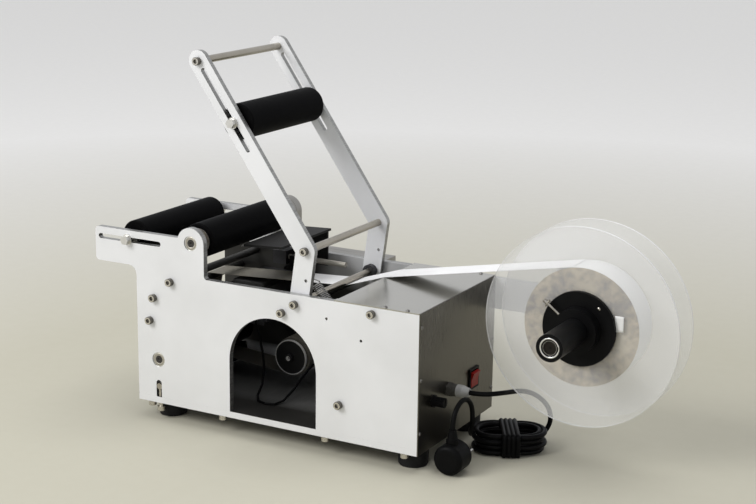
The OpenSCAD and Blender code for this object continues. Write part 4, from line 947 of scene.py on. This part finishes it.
def make_spring():
    points = spring_route()
    bm = bmesh.new()
    side = Vector((1, 0, 0))
    rings = []
    for i, point in enumerate(points):
        ahead = (points[min(i + 1, len(points) - 1)] - points[max(i - 1, 0)]).normalized()
        side = (side - ahead * side.dot(ahead)).normalized()
        other = ahead.cross(side)
        ring = []
        for k in range(SPRING_SIDES):
            angle = 2 * math.pi * k / SPRING_SIDES
            outward = side * math.cos(angle) + other * math.sin(angle)
            ring.append(bm.verts.new(point + outward * SPRING_WIRE / 2 * MM))
        rings.append(ring)
    skin(bm, rings)
    bm.faces.new(rings[0][::-1])
    bm.faces.new(rings[-1])
    spring = new_mesh("arm_return_spring", bm)
    spring.data.materials.append(spring_steel)
    scene.collection.objects.link(spring)
    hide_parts("return_spring")
    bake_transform(spring)


# Small turned pieces, as profiles of radius and depth behind a face, in millimetres
SHIELD = [(5.3, 1.0), (5.6, 0.8), (7.7, 0.8), (8.0, 1.0), (8.0, 1.5), (5.3, 1.5)]
SNAP_RING = [(10.3, 0.2), (10.6, 0.0), (11.7, 0.0), (12.0, 0.2), (12.0, 0.9), (10.3, 0.9)]
REEL_SEAL = [(8.3, 0.95), (8.6, 0.8), (10.0, 0.8), (10.2, 0.95), (10.2, 1.5), (8.3, 1.5)]
SCREW_HEAD = [(0.3, -1.2), (1.2, -1.1), (1.9, -0.6), (2.1, 0.0), (0.3, 0.0)]
SNAP_RING_START = 16
SNAP_RING_SWEEP = 328
COLLAR_FLANGE = 5
COLLAR_SCREW_R = 37
COLLAR_SCREW_ANGLE = math.radians(49)


def make_shields():
    """Shields in the bearings that show from the front."""
    plate_face = end_of("front_side_plate", "Y", LOW)
    for name in ("drive", "pull"):
        turned_piece(name + "_bearing_shield", SHIELD, on_axis(name + "_spin", plate_face), "frame", shield)


def make_reel_end():
    """Snap ring and dark seal in the open end of the reel tube."""
    centre = on_axis("reel_spin", end_of("reel_tube", "Y", LOW))
    turned_piece("reel_snap_ring", SNAP_RING, centre, "reel", bearing, steps=60,
                 start=SNAP_RING_START, sweep=SNAP_RING_SWEEP)
    turned_piece("reel_bearing_seal", REEL_SEAL, centre, "reel", seal)


def make_collar_screw():
    """Screw in the flange of the reel collar."""
    face = end_of("front_disc", "Y", LOW) - COLLAR_FLANGE * MM
    offset = Vector((math.cos(COLLAR_SCREW_ANGLE), 0, math.sin(COLLAR_SCREW_ANGLE))) * COLLAR_SCREW_R * MM
    centre = on_axis("reel_spin", face) + offset
    turned_piece("collar_screw", SCREW_HEAD, centre, "reel_clamp", screw, steps=20)


# Tape on the front disc: its left edge and middle height from the reel's axis and its size, in millimetres
TAPE_AT = (42.5, 12)
TAPE_W = 11
TAPE_H = 19
TAPE_T = 0.15
TAPE_LIFT = 0.2
TAPE_CURL = 0.8
TAPE_STEPS = 6


def make_tape():
    """Strip of white tape on the front disc, half under the collar's edge."""
    centre = on_axis("reel_spin", end_of("front_disc", "Y", LOW))
    bm = bmesh.new()
    points = []
    for i in range(TAPE_STEPS + 1):
        for k in range(TAPE_STEPS + 1):
            x = TAPE_AT[0] + TAPE_W * k / TAPE_STEPS
            z = TAPE_AT[1] + TAPE_H * (i / TAPE_STEPS - 0.5)
            lift = TAPE_LIFT * (1 + TAPE_CURL * (k / TAPE_STEPS) ** 3)
            points.append(bm.verts.new(centre + Vector((x, -lift, z)) * MM))
    row = TAPE_STEPS + 1
    for i in range(TAPE_STEPS):
        for k in range(TAPE_STEPS):
            a = i * row + k
            bm.faces.new((points[a], points[a + 1], points[a + row + 1], points[a + row]))
    tape = mesh_piece("disc_tape", bm, "reel_clamp", paper)
    thicken(tape, TAPE_T, 0)


# Floor: its colour near the machine and far off, where it glows a little to meet the sky
FLOOR_HALF = 12.0
FLOOR_NEAR = (0.505, 0.487, 0.40)
FLOOR_FAR = (0.40, 0.398, 0.393)
FLOOR_FADE = (0.6, 2.2)
FLOOR_GRAIN = 0.02
FLOOR_ROUGH = (0.7, 0.85)
FAR_GLOW = (0.97, 0.965, 0.95)
FAR_LIFT = 0.45


def make_floor():
    mesh = bpy.data.meshes.new("floor")
    h = FLOOR_HALF
    mesh.from_pydata([(-h, -h, 0), (h, -h, 0), (h, h, 0), (-h, h, 0)], [], [(0, 1, 2, 3)])
    floor = bpy.data.objects.new("floor", mesh)
    scene.collection.objects.link(floor)
    made = Finish("floor_paper")
    tree = made.tree
    coords = add(tree, "TexCoord").outputs["Object"]
    distance = add(tree, "VectorMath", {0: coords}, operation="LENGTH").outputs["Value"]
    far = spread(tree, distance, 0.0, 1.0, *FLOOR_FADE)
    path = add(tree, "LightPath").outputs
    seen = maths(tree, "MAXIMUM", path["Is Camera Ray"], path["Is Glossy Ray"])
    seen = maths(tree, "MAXIMUM", seen, path["Is Transmission Ray"])
    lifted = maths(tree, "MULTIPLY", far, FAR_LIFT)
    made.put("Base Color", mixed(tree, far, FLOOR_NEAR, FLOOR_FAR))
    made.put("Roughness", spread(tree, noise(tree, FLOOR_GRAIN), *FLOOR_ROUGH))
    made.put("Emission Color", FAR_GLOW)
    made.put("Emission Strength", maths(tree, "MULTIPLY", seen, lifted))
    mesh.materials.append(made.material)


# Lamps, and the sky: its strength as light, in mirroring metal and as shown behind the machine
Lamp = namedtuple("Lamp", "name place size power colour mirrored")
LAMPS = [
    Lamp("key", (-1.7, -2.3, 2.2), 1.8, 80, (1.0, 0.995, 0.985), True),
    Lamp("top", (0.1, 0.4, 2.6), 2.0, 30, (1.0, 1.0, 1.0), False),
]
LAMP_AIM = Vector((0, 0, 0.15))
SKY_LIGHT = 0.42
SKY_MIRRORED = 0.80
SKY_SHOWN = 0.663
SKY_LIGHT_COLOUR = (0.96, 0.97, 1.0)
SKY_SHOWN_COLOUR = (1.0, 1.0, 0.997)


def make_lamp(lamp):
    data = bpy.data.lights.new(lamp.name, "AREA")
    data.shape = "DISK"
    data.size = lamp.size
    data.energy = lamp.power
    data.color = lamp.colour
    light = bpy.data.objects.new(lamp.name, data)
    light.location = lamp.place
    light.rotation_mode = "QUATERNION"
    light.rotation_quaternion = (LAMP_AIM - Vector(lamp.place)).to_track_quat("-Z", "Y")
    light.visible_glossy = lamp.mirrored
    scene.collection.objects.link(light)


def make_sky():
    world = bpy.data.worlds.new("studio")
    scene.world = world
    world.use_nodes = True
    tree = world.node_tree
    path = add(tree, "LightPath").outputs
    seen = maths(tree, "MAXIMUM", path["Is Camera Ray"], path["Is Transmission Ray"])
    strength = blended(tree, path["Is Glossy Ray"], SKY_LIGHT, SKY_MIRRORED)
    background = tree.nodes["Background"].inputs
    feed(tree, background["Color"], mixed(tree, seen, SKY_LIGHT_COLOUR, SKY_SHOWN_COLOUR))
    feed(tree, background["Strength"], blended(tree, seen, strength, SKY_SHOWN))


make_camera()
make_cord(make_tie())
make_spring()
make_shields()
make_reel_end()
make_collar_screw()
make_tape()
dress_nodes()
for name, width in ROUNDED.items():
    round_edges(nodes[name], width)
make_floor()
for lamp in LAMPS:
    make_lamp(lamp)
make_sky()
scene.view_settings.view_transform = "Standard"
